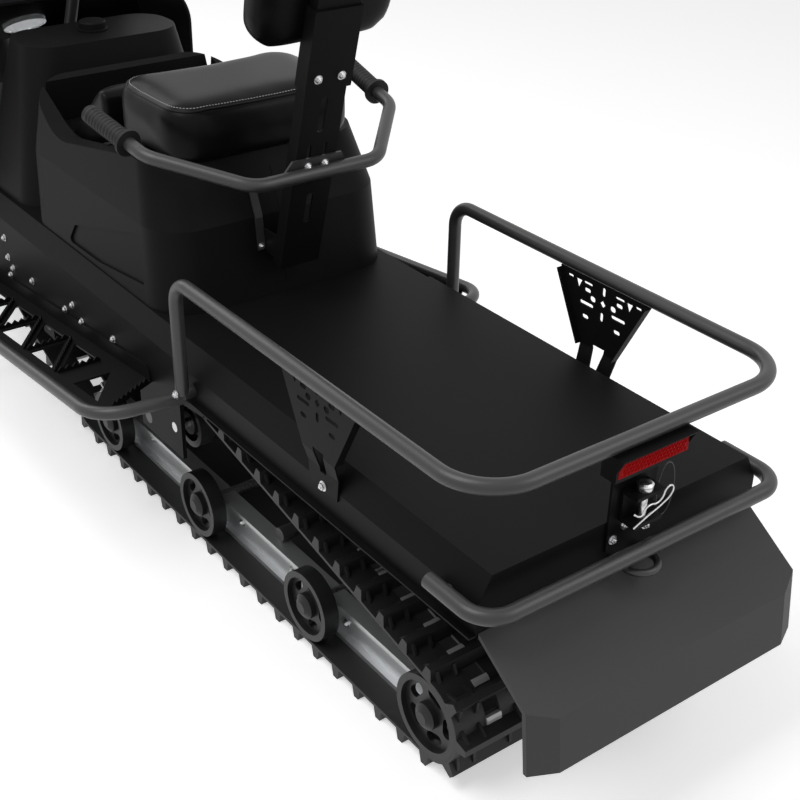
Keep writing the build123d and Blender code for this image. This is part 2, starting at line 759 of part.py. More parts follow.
# Rows of teeth: (from, to), in the plane of the board
tooth_rows = [((board_in + BOARD_T, 0), board_tail)]
for rung in rungs:
    tooth_rows.append(((board_near, rung), (board_far, rung)))
    tooth_rows.append(((board_near, rung - BOARD_PITCH), (board_far, rung)))
with BuildPart() as running_boards:
    with BuildSketch(board_plane) as plate:
        with BuildLine():
            Polyline(
                (board_in, board_front),
                (BOARD_HALF, board_front),
                (BOARD_HALF, BOARD_TUBE_BACK - BOARD_BEND_R),
                board_tail,
                (board_in, 0),
                close=True,
            )
        make_face()
        fillet(plate.vertices().group_by(Axis.Y)[0].sort_by(Axis.X)[-1], BOARD_BEND_R)
        for rung in [heel, *rungs]:
            front = rung - BOARD_PITCH
            outer_hole = [(board_far, front), (board_far, rung), (board_near, front)]
            with BuildLine():
                Polyline(*inset(outer_hole, BOARD_BAR / 2), close=True)
            make_face(mode=Mode.SUBTRACT)
            if rung == heel:
                continue
            inner_hole = [(board_near, front), (board_near, rung), (board_far, rung)]
            with BuildLine():
                Polyline(*inset(inner_hole, BOARD_BAR / 2), close=True)
            make_face(mode=Mode.SUBTRACT)
    extrude(amount=-BOARD_T)
    flange_foot = board_plane.from_local_coords((board_in, 0, 0))
    with BuildSketch(Plane(origin=flange_foot, x_dir=board_along, z_dir=(1, 0, 0))) as flange:
        Rectangle(-board_front - 2 * TUBE_R, BOARD_FLANGE, align=(Align.MAX, Align.MIN))
        fillet(flange.vertices().group_by(Axis.Y)[-1].sort_by(Axis.X)[-1], BOARD_FLANGE_R)
    extrude(amount=BOARD_T)
    for start, end in tooth_rows:
        row = Vector(*end) - Vector(*start)
        way = (Vector(1, 0, 0) * row.X + board_along * row.Y).normalized()
        middle = (Vector(*start) + Vector(*end)) * 0.5
        origin = board_plane.from_local_coords((middle.X, middle.Y, 0))
        with BuildSketch(Plane(origin=origin, x_dir=way, z_dir=way.cross(board_up))):
            teeth = int((row.length - TOOTH_PITCH) / TOOTH_PITCH)
            Rectangle(teeth * TOOTH_PITCH, 2 * TOOTH_ROOT)
            with GridLocations(TOOTH_PITCH, 0, teeth, 1):
                Polygon(
                    (-TOOTH_PITCH / 2, TOOTH_ROOT),
                    (TOOTH_PITCH / 2, TOOTH_ROOT),
                    (0, TOOTH_HEIGHT),
                    align=None,
                )
        extrude(amount=TOOTH_T / 2, both=True)
    split(bisect_by=board_plane.offset(-BOARD_T), keep=Keep.TOP)
    mirror(about=Plane.YZ)
running_boards.part.label = "running_boards"
export_step(running_boards.part, "parts/running_boards.step")

with BuildPart() as board_tubes:
    tube_lift = TUBE_R + FIT
    # The slanted rear leg stops short of the tunnel by what its end face leans
    tube_end = board_in + TUBE_R * BOARD_SWEEP / (BOARD_HALF - board_in)
    corners = [
        (board_in, board_front),
        (BOARD_HALF, board_front),
        (BOARD_HALF, BOARD_TUBE_BACK),
        (tube_end, BOARD_TUBE_BACK + BOARD_SWEEP),
    ]
    with BuildLine() as run:
        path = [board_plane.from_local_coords((x, along, tube_lift)) for x, along in corners]
        FilletPolyline(*path, radius=BOARD_BEND_R)
    with BuildSketch(Plane(origin=run.line @ 0, z_dir=run.line % 0)):
        Circle(TUBE_R)
    sweep()
    mirror(about=Plane.YZ)
board_tubes.part.label = "board_tubes"
export_step(board_tubes.part, "parts/board_tubes.step")

# Track loop round four circles: (Y, Z, radius), from the rear idler over the top to the front
LOOP = [
    (IDLER_Y, BELT_Z + IDLER_R, IDLER_R),
    (CARRIER_Y, CARRIER_Z, CARRIER_R),
    (DRIVE_Y, DRIVE_Z, DRIVE_R),
    (NOSE_Y, BELT_Z + NOSE_R, NOSE_R),
]


def tangent_angles(circles):
    """Angle of the outward normal of each straight run, from one circle to the next."""
    angles = []
    for (y1, z1, r1), (y2, z2, r2) in zip(circles, circles[1:] + circles[:1]):
        heading = math.atan2(z2 - z1, y2 - y1)
        angles.append(heading - math.acos((r1 - r2) / math.hypot(y2 - y1, z2 - z1)))
    return angles


def at_angle(circle, angle, out=0.0):
    """Point on a circle, or a distance outside it."""
    y, z, r = circle
    return (y + (r + out) * math.cos(angle), z + (r + out) * math.sin(angle))


NORMALS = tangent_angles(LOOP)


def loop_outline(out):
    """Draws the loop at a distance outside its circles, as arcs and straight runs."""
    for at, circle in enumerate(LOOP):
        start = NORMALS[at - 1]
        turn = (NORMALS[at] - start) % (2 * math.pi)
        first, last = at_angle(circle, start, out), at_angle(circle, start + turn, out)
        ThreePointArc(first, at_angle(circle, start + turn / 2, out), last)
        onward = LOOP[(at + 1) % len(LOOP)]
        Line(last, at_angle(onward, NORMALS[at], out))


def lug_places(out, pitch):
    """Evenly spaced places along the loop, each with the angle of its outward normal."""
    runs = []
    for at, circle in enumerate(LOOP):
        start = NORMALS[at - 1]
        turn = (NORMALS[at] - start) % (2 * math.pi)
        first = at_angle(circle, start + turn, out)
        last = at_angle(LOOP[(at + 1) % len(LOOP)], NORMALS[at], out)
        runs.append((turn * (circle[2] + out), math.dist(first, last)))
    count = round(sum(arc + flat for arc, flat in runs) / pitch)
    step = sum(arc + flat for arc, flat in runs) / count
    places = []
    for lug in range(count):
        along = lug * step
        for at, (arc, flat) in enumerate(runs):
            if along < arc:
                angle = NORMALS[at - 1] + along / (LOOP[at][2] + out)
                places.append((*at_angle(LOOP[at], angle, out), angle))
                break
            if along < arc + flat:
                share = (along - arc) / flat
                first = Vector(*at_angle(LOOP[at], NORMALS[at], out))
                last = Vector(*at_angle(LOOP[(at + 1) % len(LOOP)], NORMALS[at], out))
                spot = first + (last - first) * share
                places.append((spot.X, spot.Y, NORMALS[at]))
                break
            along -= arc + flat
    return places


# Bands across one half of the track: (inner X, outer X, whether the belt has a window by each lug)
TRACK_BANDS = [
    (0.0, WINDOW_IN, False),
    (WINDOW_IN, WINDOW_OUT, True),
    (WINDOW_OUT, TRACK_HALF, False),
]
with BuildPart() as track:
    for inner, outer, windows in TRACK_BANDS:
        with BuildSketch(side(inner)):
            with BuildLine():
                loop_outline(BELT_T)
            make_face()
            for y, z, angle in lug_places(BELT_T, LUG_PITCH):
                with Locations(Location((y, z), math.degrees(angle) - 90)):
                    Polygon(
                        (-LUG_ROOT / 2, -BELT_T / 2),
                        (LUG_ROOT / 2, -BELT_T / 2),
                        (LUG_TIP / 2, LUG_HEIGHT),
                        (-LUG_TIP / 2, LUG_HEIGHT),
                        align=None,
                    )
                    if windows:
                        with Locations((LUG_ROOT / 2, 0)):
                            Rectangle(
                                WINDOW_LENGTH,
                                4 * BELT_T,
                                align=(Align.MIN, Align.CENTER),
                                mode=Mode.SUBTRACT,
                            )
            with BuildLine():
                loop_outline(0)
            make_face(mode=Mode.SUBTRACT)
        extrude(amount=outer - inner)
    mirror(about=Plane.YZ)
track.part.label = "track"
export_step(track.part, "parts/track.step")

# Slide rails: an I-section that curves up round the loop's nose, drilled for the axles
idler_z = BELT_Z + IDLER_R
road_z = BELT_Z + ROAD_WHEEL_R
rail_low = BELT_Z + FIT
with BuildPart() as skid_rails:
    with BuildSketch(cross(IDLER_Y - AXLE_R)) as rail_section:
        for hand in (1, -1):
            with Locations((hand * RAIL_X, rail_low)):
                Rectangle(RAIL_FLANGE, RAIL_FLANGE_T, align=(Align.CENTER, Align.MIN))
                Rectangle(RAIL_WEB, RAIL_HEIGHT, align=(Align.CENTER, Align.MIN))
            with Locations((hand * RAIL_X, rail_low + RAIL_HEIGHT)):
                Rectangle(RAIL_FLANGE, RAIL_FLANGE_T, align=(Align.CENTER, Align.MAX))
    extrude(amount=IDLER_Y - AXLE_R - NOSE_Y)
    nose_faces = skid_rails.faces().filter_by(Axis.Y).sort_by(Axis.Y)[:2]
    for hand in (1, -1):
        with BuildSketch(cross(NOSE_Y)):
            with Locations((hand * RAIL_X, rail_low)):
                Rectangle(RAIL_FLANGE, RAIL_FLANGE_T, align=(Align.CENTER, Align.MIN))
                Rectangle(RAIL_WEB, RAIL_HEIGHT, align=(Align.CENTER, Align.MIN))
            with Locations((hand * RAIL_X, rail_low + RAIL_HEIGHT)):
                Rectangle(RAIL_FLANGE, RAIL_FLANGE_T, align=(Align.CENTER, Align.MAX))
        revolve(
            axis=Axis((0, NOSE_Y, BELT_Z + NOSE_R), (-1, 0, 0)),
            revolution_arc=RAIL_NOSE_ARC,
        )
        with BuildSketch(side(hand * RAIL_X - RAIL_WEB / 2)):
            with Locations((IDLER_Y, idler_z)):
                Circle(3 * AXLE_R)
        extrude(amount=RAIL_WEB)
    with BuildSketch(side(-TRACK_HALF)):
        with Locations((IDLER_Y, idler_z), *[(y, road_z) for y in ROAD_WHEEL_YS]):
            Circle(AXLE_R + FIT)
    extrude(amount=2 * TRACK_HALF, mode=Mode.SUBTRACT)
skid_rails.part.label = "skid_rails"
export_step(skid_rails.part, "parts/skid_rails.step")


# Pairs of wheels: (name, radius, places as Y and Z, whether a cap closes the hub)
WHEELS = [
    ("road_wheels", ROAD_WHEEL_R, [(y, road_z) for y in ROAD_WHEEL_YS], True),
    ("rear_idlers", IDLER_R, [(IDLER_Y, idler_z)], True),
    ("carrier_rollers", CARRIER_R, [(CARRIER_Y, CARRIER_Z)], False),
]
for name, radius, places, capped in WHEELS:
    rim_r = radius - FIT
    bore_r = AXLE_R + FIT
    hole_width = (rim_r - TYRE_T - WHEEL_HUB_R) / 2
    with BuildPart() as wheels:
        for hand in (1, -1):
            for y, z in places:
                middle = Vector(hand * WHEEL_X, y, z)
                with BuildSketch(Plane(origin=middle, x_dir=(hand, 0, 0), z_dir=(0, -hand, 0))):
                    with Locations((0, rim_r)):
                        Rectangle(WHEEL_WIDTH, TYRE_T, align=(Align.CENTER, Align.MAX))
                    with Locations((0, bore_r)):
                        Rectangle(WHEEL_WEB, rim_r - bore_r, align=(Align.CENTER, Align.MIN))
                        Rectangle(WHEEL_WIDTH, WHEEL_HUB_R - bore_r, align=(Align.CENTER, Align.MIN))
                    if capped:
                        with Locations((WHEEL_WIDTH / 2, 0)):
                            Polygon(
                                (0, 0),
                                (HUB_CAP, 0),
                                (HUB_CAP, WHEEL_HUB_R / 2),
                                (HUB_CAP / 2, WHEEL_HUB_R - HUB_CAP_EDGE),
                                (0, WHEEL_HUB_R),
                                align=None,
                            )
                revolve(axis=Axis(middle, (1, 0, 0)))
            with BuildSketch(side(hand * WHEEL_X - WHEEL_WEB)):
                with Locations(*places):
                    with PolarLocations(WHEEL_HUB_R + hole_width, WHEEL_HOLES):
                        SlotOverall(2 * hole_width, hole_width, rotation=90)
            extrude(amount=2 * WHEEL_WEB, mode=Mode.SUBTRACT)
    wheels.part.label = name
    export_step(wheels.part, f"parts/{name}.step")

# Cross shafts: (Y, Z, half length)
wheel_out = WHEEL_X + WHEEL_WIDTH / 2
hanger_in = TUNNEL_WALL - HANGER_T
SHAFTS = [
    *[(y, road_z, wheel_out - FIT) for y in ROAD_WHEEL_YS],
    (IDLER_Y, idler_z, wheel_out - FIT),
    (CARRIER_Y, CARRIER_Z, TUNNEL_WALL),
]
with BuildPart() as skid_axles:
    for y, z, reach in SHAFTS:
        with BuildSketch(side(-reach)):
            with Locations((y, z)):
                Circle(AXLE_R)
        extrude(amount=2 * reach)
skid_axles.part.label = "skid_axles"
export_step(skid_axles.part, "parts/skid_axles.step")

with BuildPart() as drive_axle:
    with BuildSketch(side(-TUNNEL_WALL)):
        with Locations((DRIVE_Y, DRIVE_Z)):
            Circle(DRIVE_SHAFT_R)
    extrude(amount=2 * TUNNEL_WALL)
    for hand in (1, -1):
        with BuildSketch(side(hand * SPROCKET_X - SPROCKET_WIDTH / 2)):
            with Locations((DRIVE_Y, DRIVE_Z)):
                Circle(DRIVE_R - FIT)
        extrude(amount=SPROCKET_WIDTH)
drive_axle.part.label = "drive_axle"
export_step(drive_axle.part, "parts/drive_axle.step")

# Swinging arms from the tunnel's hangers to the rails: (top Y, top Z, foot Y)
ARMS = [
    (FRONT_ARM_Y, FRONT_ARM_Z, FRONT_ARM_FOOT_Y),
    (REAR_ARM_Y, REAR_ARM_Z, REAR_ARM_FOOT_Y),
]
arm_foot_z = rail_low + RAIL_HEIGHT + FIT + ARM_R
with BuildPart() as skid_arms:
    for top_y, top_z, foot_y in ARMS:
        for y, z, reach in ((top_y, top_z, TUNNEL_WALL), (foot_y, arm_foot_z, RAIL_X)):
            with BuildSketch(side(-reach)):
                with Locations((y, z)):
                    Circle(ARM_R)
            extrude(amount=2 * reach)
        top, foot = Vector(0, top_y, top_z), Vector(0, foot_y, arm_foot_z)
        for hand in (1, -1):
            aside = Vector(hand * ARM_X, 0, 0)
            with BuildSketch(Plane(origin=top + aside, z_dir=foot - top)):
                Circle(ARM_R)
            extrude(amount=(foot - top).length)
skid_arms.part.label = "skid_arms"
export_step(skid_arms.part, "parts/skid_arms.step")

# Shock absorbers between each arm's top tube and the foot tube of the next
with BuildPart() as shock_absorbers:
    for top_y, top_z, foot_y in ARMS:
        top, foot = Vector(0, top_y, top_z), Vector(0, foot_y, arm_foot_z)
        way = (foot - top).normalized()
        start, length = top + way * (ARM_R + FIT), (foot - top).length - 2 * (ARM_R + FIT)
        with BuildSketch(Plane(origin=start, z_dir=way)):
            Circle(SHOCK_ROD_R)
        extrude(amount=length)
        with BuildSketch(Plane(origin=start + way * (2 * ARM_R), z_dir=way)):
            Circle(SHOCK_R)
        extrude(amount=length - 4 * ARM_R)
shock_absorbers.part.label = "shock_absorbers"
export_step(shock_absorbers.part, "parts/shock_absorbers.step")

# Hanger plates inside the tunnel's sides, one pair for each arm
HANGERS = [
    [(FRONT_ARM_Y, FRONT_ARM_Z, ARM_R)],
    [(REAR_ARM_Y, REAR_ARM_Z, ARM_R), (CARRIER_Y, CARRIER_Z, AXLE_R)],
]
with BuildPart() as skid_hangers:
    for hand in (1, -1):
        start = hanger_in if hand > 0 else -TUNNEL_WALL
        for holes in HANGERS:
            with BuildSketch(side(start)):
                ys = [y for y, z, r in holes]
                zs = [z for y, z, r in holes]
                with Locations((min(ys) - 2 * ARM_R, min(zs) - 2 * ARM_R)):
                    Rectangle(
                        max(ys) - min(ys) + 4 * ARM_R,
                        TUNNEL_BEND_Z - min(zs) + 2 * ARM_R,
                        align=(Align.MIN, Align.MIN),
                    )
                for y, z, r in holes:
                    with Locations((y, z)):
                        Circle(r + FIT, mode=Mode.SUBTRACT)
            extrude(amount=HANGER_T)
skid_hangers.part.label = "skid_hangers"
export_step(skid_hangers.part, "parts/skid_hangers.step")

# Seat tub: (height, inset of the sides, lean of the rear wall)
TUB_SECTIONS = [
    (0.0, 0.0, 0.0),
    (TUB_WAIST_RISE, TUB_WAIST_IN, TUB_WAIST_LEAN),
    (TUB_TOP_RISE, TUB_TOP_IN, TUB_TOP_LEAN),
]
tub_foot = TUNNEL_TOP + FIT
tub_top = tub_foot + TUB_TOP_RISE
rim = [
    (TUB_REAR, tub_foot + RIM_REAR_RISE),
    (RIM_KNEE_Y, tub_foot + RIM_REAR_RISE),
    (RIM_DIP_Y, tub_foot + RIM_DIP_RISE),
    (TUB_FRONT, tub_foot + RIM_FRONT_RISE),
]
rim_slope = (RIM_REAR_RISE - RIM_DIP_RISE) / (RIM_KNEE_Y - RIM_DIP_Y)


def rim_z(y):
    """Height of the rim at Y = y, between the driver's dip and the knee behind it."""
    return tub_foot + RIM_DIP_RISE + rim_slope * (y - RIM_DIP_Y)


# Where the driver's cushion rests, from the tank end over the floor to the rim
driver_rear = CUSHION_SPLIT - CUSHION_GAP / 2
driver_seat = [
    (DRIVER_FRONT, tub_foot + DRIVER_FRONT_RISE),
    (DRIVER_FRONT, tub_foot + DRIVER_FLOOR_RISE),
    (DRIVER_FLOOR_REAR, tub_foot + DRIVER_FLOOR_RISE),
    (driver_rear, rim_z(driver_rear)),
]
with BuildPart() as seat_tub:
    for rise, narrower, lean in TUB_SECTIONS:
        length = TUB_REAR - lean - TUB_FRONT
        with BuildSketch(Plane.XY.offset(tub_foot + rise)):
            with Locations((0, TUB_FRONT + length / 2)):
                RectangleRounded(2 * (TUB_HALF - narrower), length, TUB_CORNER_R)
    loft(ruled=True)
    with BuildSketch(side(-TUB_HALF)):
        with BuildLine():
            FilletPolyline(*rim, radius=RIM_DIP_R)
            Polyline(rim[-1], (TUB_FRONT, tub_top), (TUB_REAR, tub_top), rim[0])
        make_face()
    extrude(amount=2 * TUB_HALF, mode=Mode.SUBTRACT)
    with BuildSketch(side(-DRIVER_HALF - FIT)):
        with BuildLine():
            Polyline(*driver_seat, (driver_rear, tub_top), (DRIVER_FRONT, tub_top), close=True)
        make_face()
    extrude(amount=2 * (DRIVER_HALF + FIT), mode=Mode.SUBTRACT)
    wall_out = Vector(TUB_WAIST_RISE, 0, TUB_WAIST_IN).normalized()
    wall_foot = Vector(TUB_HALF, 0, tub_foot) - wall_out * RECESS_DEPTH
    with BuildSketch(Plane(origin=wall_foot, x_dir=(0, 1, 0), z_dir=wall_out)) as recess:
        Polygon(*RECESS_OUTLINE, align=None)
        fillet(recess.vertices(), RECESS_R)
    extrude(amount=2 * RECESS_DEPTH, mode=Mode.SUBTRACT)
    split(bisect_by=Plane.YZ, keep=Keep.TOP)
    mirror(about=Plane.YZ)
seat_tub.part.label = "seat_tub"
export_step(seat_tub.part, "parts/seat_tub.step")

# Passenger's cushion: a rounded block cut to the rim below
passenger_front = CUSHION_SPLIT + CUSHION_GAP / 2
passenger_top = tub_foot + PASSENGER_RISE
with BuildPart() as passenger_cushion:
    with BuildSketch(side(-PASSENGER_HALF)):
        with BuildLine():
            rest = [(passenger_front, rim_z(passenger_front)), rim[1], (PASSENGER_REAR, rim[0][1])]
            lid = [(PASSENGER_REAR, passenger_top), (passenger_front, passenger_top)]
            Polyline(*shifted(rest, FIT), *lid, close=True)
        make_face()
    extrude(amount=2 * PASSENGER_HALF)
    with BuildSketch(Plane.XY.offset(tub_foot)):
        length = PASSENGER_REAR - passenger_front
        with Locations((0, PASSENGER_REAR - length / 2)):
            RectangleRounded(2 * PASSENGER_HALF, length, CUSHION_CORNER_R)
    extrude(amount=PASSENGER_RISE, mode=Mode.INTERSECT)
    fillet(passenger_cushion.faces().sort_by(Axis.Z)[-1].edges(), CUSHION_CROWN_R)
passenger_cushion.part.label = "passenger_cushion"
export_step(passenger_cushion.part, "parts/passenger_cushion.step")

# Driver's cushion: a hollow seat whose rear slopes up to the passenger's
with BuildPart() as driver_cushion:
    with BuildSketch(side(-DRIVER_HALF)):
        with BuildLine():
            rest = shifted(driver_seat, FIT)
            back_top = (driver_rear, tub_foot + DRIVER_BACK_RISE)
            hollow = (DRIVER_HOLLOW_Y, tub_foot + DRIVER_HOLLOW_RISE)
            Polyline(*rest)
            FilletPolyline(rest[-1], back_top, hollow, rest[0], radius=[DRIVER_BACK_R, DRIVER_HOLLOW_R])
        make_face()
    extrude(amount=2 * DRIVER_HALF)
driver_cushion.part.label = "driver_cushion"
export_step(driver_cushion.part, "parts/driver_cushion.step")

with BuildPart() as seat_strap:
    strap_up = Vector(0, -rim_slope, 1).normalized()
    strap_at = Vector(0, CUSHION_SPLIT, rim_z(CUSHION_SPLIT)) + strap_up * FIT
    with BuildSketch(Plane(origin=strap_at, x_dir=(1, 0, 0), z_dir=strap_up)):
        Rectangle(2 * PASSENGER_HALF, STRAP_WIDTH)
    extrude(amount=STRAP_T)
seat_strap.part.label = "seat_strap"
export_step(seat_strap.part, "parts/seat_strap.step")

# Backrest post: a channel that leans back, stood off the tub's rear wall by a foot bracket
post_up = Vector(0, math.sin(math.radians(POST_LEAN)), math.cos(math.radians(POST_LEAN)))
post_back = Vector(0, post_up.Z, -post_up.Y)
post_foot = Vector(0, POST_FOOT_Y, POST_FOOT_Z)


def tub_wall(z):
    """Y of the tub's rear wall at height z, below its waist."""
    return TUB_REAR - TUB_WAIST_LEAN * (z - tub_foot) / TUB_WAIST_RISE


def post_y(z):
    """Y of the post's centre line at height z."""
    return POST_FOOT_Y + (z - POST_FOOT_Z) * post_up.Y / post_up.Z


with BuildPart() as backrest_post:
    with BuildSketch(Plane(origin=post_foot, x_dir=(1, 0, 0), z_dir=post_up)):
        with Locations((0, 0)):
            Rectangle(POST_WIDTH, POST_DEPTH)
        with Locations((0, -POST_T)):
            Rectangle(POST_WIDTH - 2 * POST_T, POST_DEPTH, mode=Mode.SUBTRACT)
    extrude(amount=POST_LENGTH)
    face = Plane(origin=post_foot + post_back * POST_DEPTH, x_dir=(-1, 0, 0), z_dir=post_back)
    with BuildSketch(face):
        for across, up_post, length, width in POST_SLOTS:
            with Locations((across, up_post)):
                SlotOverall(length, width, rotation=90)
    extrude(amount=-2 * POST_DEPTH, mode=Mode.SUBTRACT)
    # The sleeve that carries the pad, round the channel's outside
    with BuildSketch(Plane(origin=post_foot + post_up * SLEEVE_START, x_dir=(1, 0, 0), z_dir=post_up)):
        with Locations((0, SLEEVE_T / 2)):
            Rectangle(POST_WIDTH + 2 * SLEEVE_T, POST_DEPTH + SLEEVE_T)
        with Locations((0, -POST_T)):
            Rectangle(POST_WIDTH - 2 * POST_T, POST_DEPTH, mode=Mode.SUBTRACT)
    extrude(amount=SLEEVE_LENGTH)
    for start in (POST_WIDTH / 2 - POST_T, -POST_WIDTH / 2):
        with BuildSketch(side(start)):
            with BuildLine():
                low, high = POST_FOOT_Z + POST_DEPTH / 2, POST_FOOT_Z + POST_BRACKET_RISE
                Polyline(
                    (tub_wall(low) + FIT, low),
                    (post_y(low), low),
                    (post_y(high), high),
                    (tub_wall(high) + FIT, high),
                    close=True,
                )
            make_face()
        extrude(amount=POST_T)
backrest_post.part.label = "backrest_post"
export_step(backrest_post.part, "parts/backrest_post.step")

# Passenger grab bar, clamped behind the post, with a grip on each end
grab_y = post_y(GRAB_Z) + (POST_DEPTH / 2 + TUBE_R + FIT) / post_up.Z
grab_half = [
    Vector(GRIP_HALF, GRIP_Y, GRIP_Z),
    Vector(GRAB_OUT_HALF, GRAB_OUT_Y, GRAB_OUT_Z),
    Vector(GRAB_MID_HALF, grab_y, GRAB_Z),
]
with BuildPart() as grab_bar:
    with BuildLine() as run:
        path = [*grab_half, *[Vector(-p.X, p.Y, p.Z) for p in reversed(grab_half)]]
        FilletPolyline(*path, radius=GRAB_BEND_R)
    with BuildSketch(Plane(origin=run.line @ 0, z_dir=run.line % 0)):
        Circle(TUBE_R)
    sweep()
    # The plate that bolts it to the post
    clamp = post_foot + post_up * ((GRAB_Z - POST_FOOT_Z) / post_up.Z) + post_back * (POST_DEPTH / 2 + FIT)
    with BuildSketch(Plane(origin=clamp, x_dir=(-1, 0, 0), z_dir=post_back)):
        Polygon(
            (-CLAMP_WIDTH / 2, 0),
            (CLAMP_WIDTH / 2, 0),
            (CLAMP_TOP_WIDTH / 2, CLAMP_HEIGHT),
            (-CLAMP_TOP_WIDTH / 2, CLAMP_HEIGHT),
            align=None,
        )
    extrude(amount=CLAMP_T)
grab_bar.part.label = "grab_bar"
export_step(grab_bar.part, "parts/grab_bar.step")

with BuildPart() as grab_grips:
    way = (grab_half[1] - grab_half[0]).normalized()
    with BuildSketch(Plane(origin=grab_half[0] - way * GRIP_CAP, z_dir=way)):
        Circle(GRIP_R)
    extrude(amount=GRIP_LENGTH + GRIP_CAP)
    with BuildSketch(Plane(origin=grab_half[0] + way * (GRIP_LENGTH - GRIP_FLANGE_T), z_dir=way)):
        Circle(GRIP_FLANGE_R)
    extrude(amount=GRIP_FLANGE_T)
    with BuildSketch(Plane(origin=grab_half[0] - way * FIT, z_dir=way)):
        Circle(TUBE_R + FIT)
    extrude(amount=GRIP_LENGTH + GRIP_CAP, mode=Mode.SUBTRACT)
    mirror(about=Plane.YZ)
grab_grips.part.label = "grab_grips"
export_step(grab_grips.part, "parts/grab_grips.step")

with BuildPart() as backrest_pad:
    middle = post_foot + post_up * (PAD_START + PAD_HEIGHT / 2) - post_back * (POST_DEPTH / 2 + FIT)
    with BuildSketch(Plane(origin=middle, x_dir=(1, 0, 0), z_dir=-post_back)):
        RectangleRounded(2 * PAD_HALF, PAD_HEIGHT, PAD_CORNER_R)
    extrude(amount=PAD_T)
    fillet(backrest_pad.faces().sort_by(Axis.Y)[0].edges(), PAD_CROWN_R)
backrest_pad.part.label = "backrest_pad"
export_step(backrest_pad.part, "parts/backrest_pad.step")

# Fuel tank under its cover: (height above the deck, half width, front Y, rear Y)
TANK_SECTIONS = [
    (0.0, TANK_HALF, TANK_FRONT, TUB_FRONT - FIT),
    (TANK_RISE, TANK_TOP_HALF, TANK_FRONT + TANK_FRONT_LEAN, TUB_FRONT - FIT - TANK_TOP_LEAN),
]
with BuildPart() as tank_cover:
    for rise, half_width, front_y, rear_y in TANK_SECTIONS:
        with BuildSketch(Plane.XY.offset(tub_foot + rise)):
            with Locations((0, (front_y + rear_y) / 2)):
                RectangleRounded(2 * half_width, rear_y - front_y, TANK_CORNER_R)
    loft(ruled=True)
tank_cover.part.label = "tank_cover"
export_step(tank_cover.part, "parts/tank_cover.step")

# Front beam across the nose, with the sleeves that the ski legs turn in
with BuildPart() as front_beam:
    with BuildSketch(side(-SKI_X)):
        with Locations((BEAM_Y, BEAM_Z)):
            Circle(BEAM_R)
    extrude(amount=2 * SKI_X)
    with BuildSketch(Plane.XY.offset(SLEEVE_LOW_Z)):
        with Locations((SKI_X, BEAM_Y), (-SKI_X, BEAM_Y)):
            Circle(SLEEVE_R)
    extrude(amount=SLEEVE_TOP_Z - SLEEVE_LOW_Z)
    with BuildSketch(Plane.XY.offset(SLEEVE_LOW_Z)):
        with Locations((SKI_X, BEAM_Y), (-SKI_X, BEAM_Y)):
            Circle(LEG_R + PIN_GAP)
    extrude(amount=SLEEVE_TOP_Z - SLEEVE_LOW_Z, mode=Mode.SUBTRACT)
front_beam.part.label = "front_beam"
export_step(front_beam.part, "parts/front_beam.step")

# Side plates that carry the drive axle and the front beam
pan_low = BEAM_Z + BEAM_R + FIT
with BuildPart() as front_frame:
    for start in (TUNNEL_WALL - FRAME_PLATE_T, -TUNNEL_WALL):
        with BuildSketch(side(start)):
            with BuildLine():
                Polyline(
                    (DRIVE_Y + DRIVE_R, TUNNEL_BEND_Z),
                    (TUNNEL_FRONT, TUNNEL_BEND_Z),
                    (TUNNEL_FRONT, pan_low - FIT),
                    (BEAM_Y - 2 * BEAM_R, pan_low - FIT),
                    (BEAM_Y - 2 * BEAM_R, BEAM_Z - 2 * BEAM_R),
                    (DRIVE_Y + DRIVE_R, BEAM_Z - 2 * BEAM_R),
                    close=True,
                )
            make_face()
            with Locations((BEAM_Y, BEAM_Z)):
                Circle(BEAM_R + FIT, mode=Mode.SUBTRACT)
            with Locations((DRIVE_Y, DRIVE_Z)):
                Circle(DRIVE_SHAFT_R + FIT, mode=Mode.SUBTRACT)
        extrude(amount=FRAME_PLATE_T)
front_frame.part.label = "front_frame"
export_step(front_frame.part, "parts/front_frame.step")

# Belly pan: an open tray under the engine, flared towards its rim
pan_rear = TUNNEL_FRONT - FIT
pan_rim = pan_low + PAN_RISE
with BuildPart() as belly_pan:
    for level, narrower in ((pan_low, PAN_FLARE), (pan_rim, 0.0)):
        with BuildSketch(Plane.XY.offset(level)):
            with BuildLine():
                Polyline(
                    (PAN_HALF - narrower, pan_rear),
                    (PAN_NOSE_HALF - narrower, PAN_FRONT + narrower),
                    (narrower - PAN_NOSE_HALF, PAN_FRONT + narrower),
                    (narrower - PAN_HALF, pan_rear),
                    close=True,
                )
            make_face()
    loft(ruled=True)
    offset(amount=-PAN_T, openings=belly_pan.faces().sort_by(Axis.Z)[-1])
belly_pan.part.label = "belly_pan"
export_step(belly_pan.part, "parts/belly_pan.step")

with BuildPart() as engine:
    with BuildSketch(Plane.XY.offset(pan_low + PAN_T + FIT)):
        with Locations((0, ENGINE_REAR)):
            Rectangle(2 * ENGINE_HALF, ENGINE_LENGTH, align=(Align.CENTER, Align.MAX))
    extrude(amount=ENGINE_HEIGHT)
engine.part.label = "engine"
export_step(engine.part, "parts/engine.step")

with BuildPart() as front_bumper:
    half = [
        (NOSE_BUMPER_HALF, BEAM_Y - BEAM_R - FIT, BEAM_Z),
        (NOSE_BUMPER_HALF, NOSE_BUMPER_Y + BUMPER_R, BEAM_Z),
        (NOSE_BUMPER_HALF, NOSE_BUMPER_Y, NOSE_BUMPER_Z),
    ]
    with BuildLine() as run:
        path = [*half, *[(-x, y, z) for x, y, z in reversed(half)]]
        FilletPolyline(*path, radius=NOSE_BUMPER_BEND_R)
    with BuildSketch(Plane(origin=run.line @ 0, z_dir=run.line % 0)):
        Circle(BUMPER_R)
    sweep()
front_bumper.part.label = "front_bumper"
export_step(front_bumper.part, "parts/front_bumper.step")

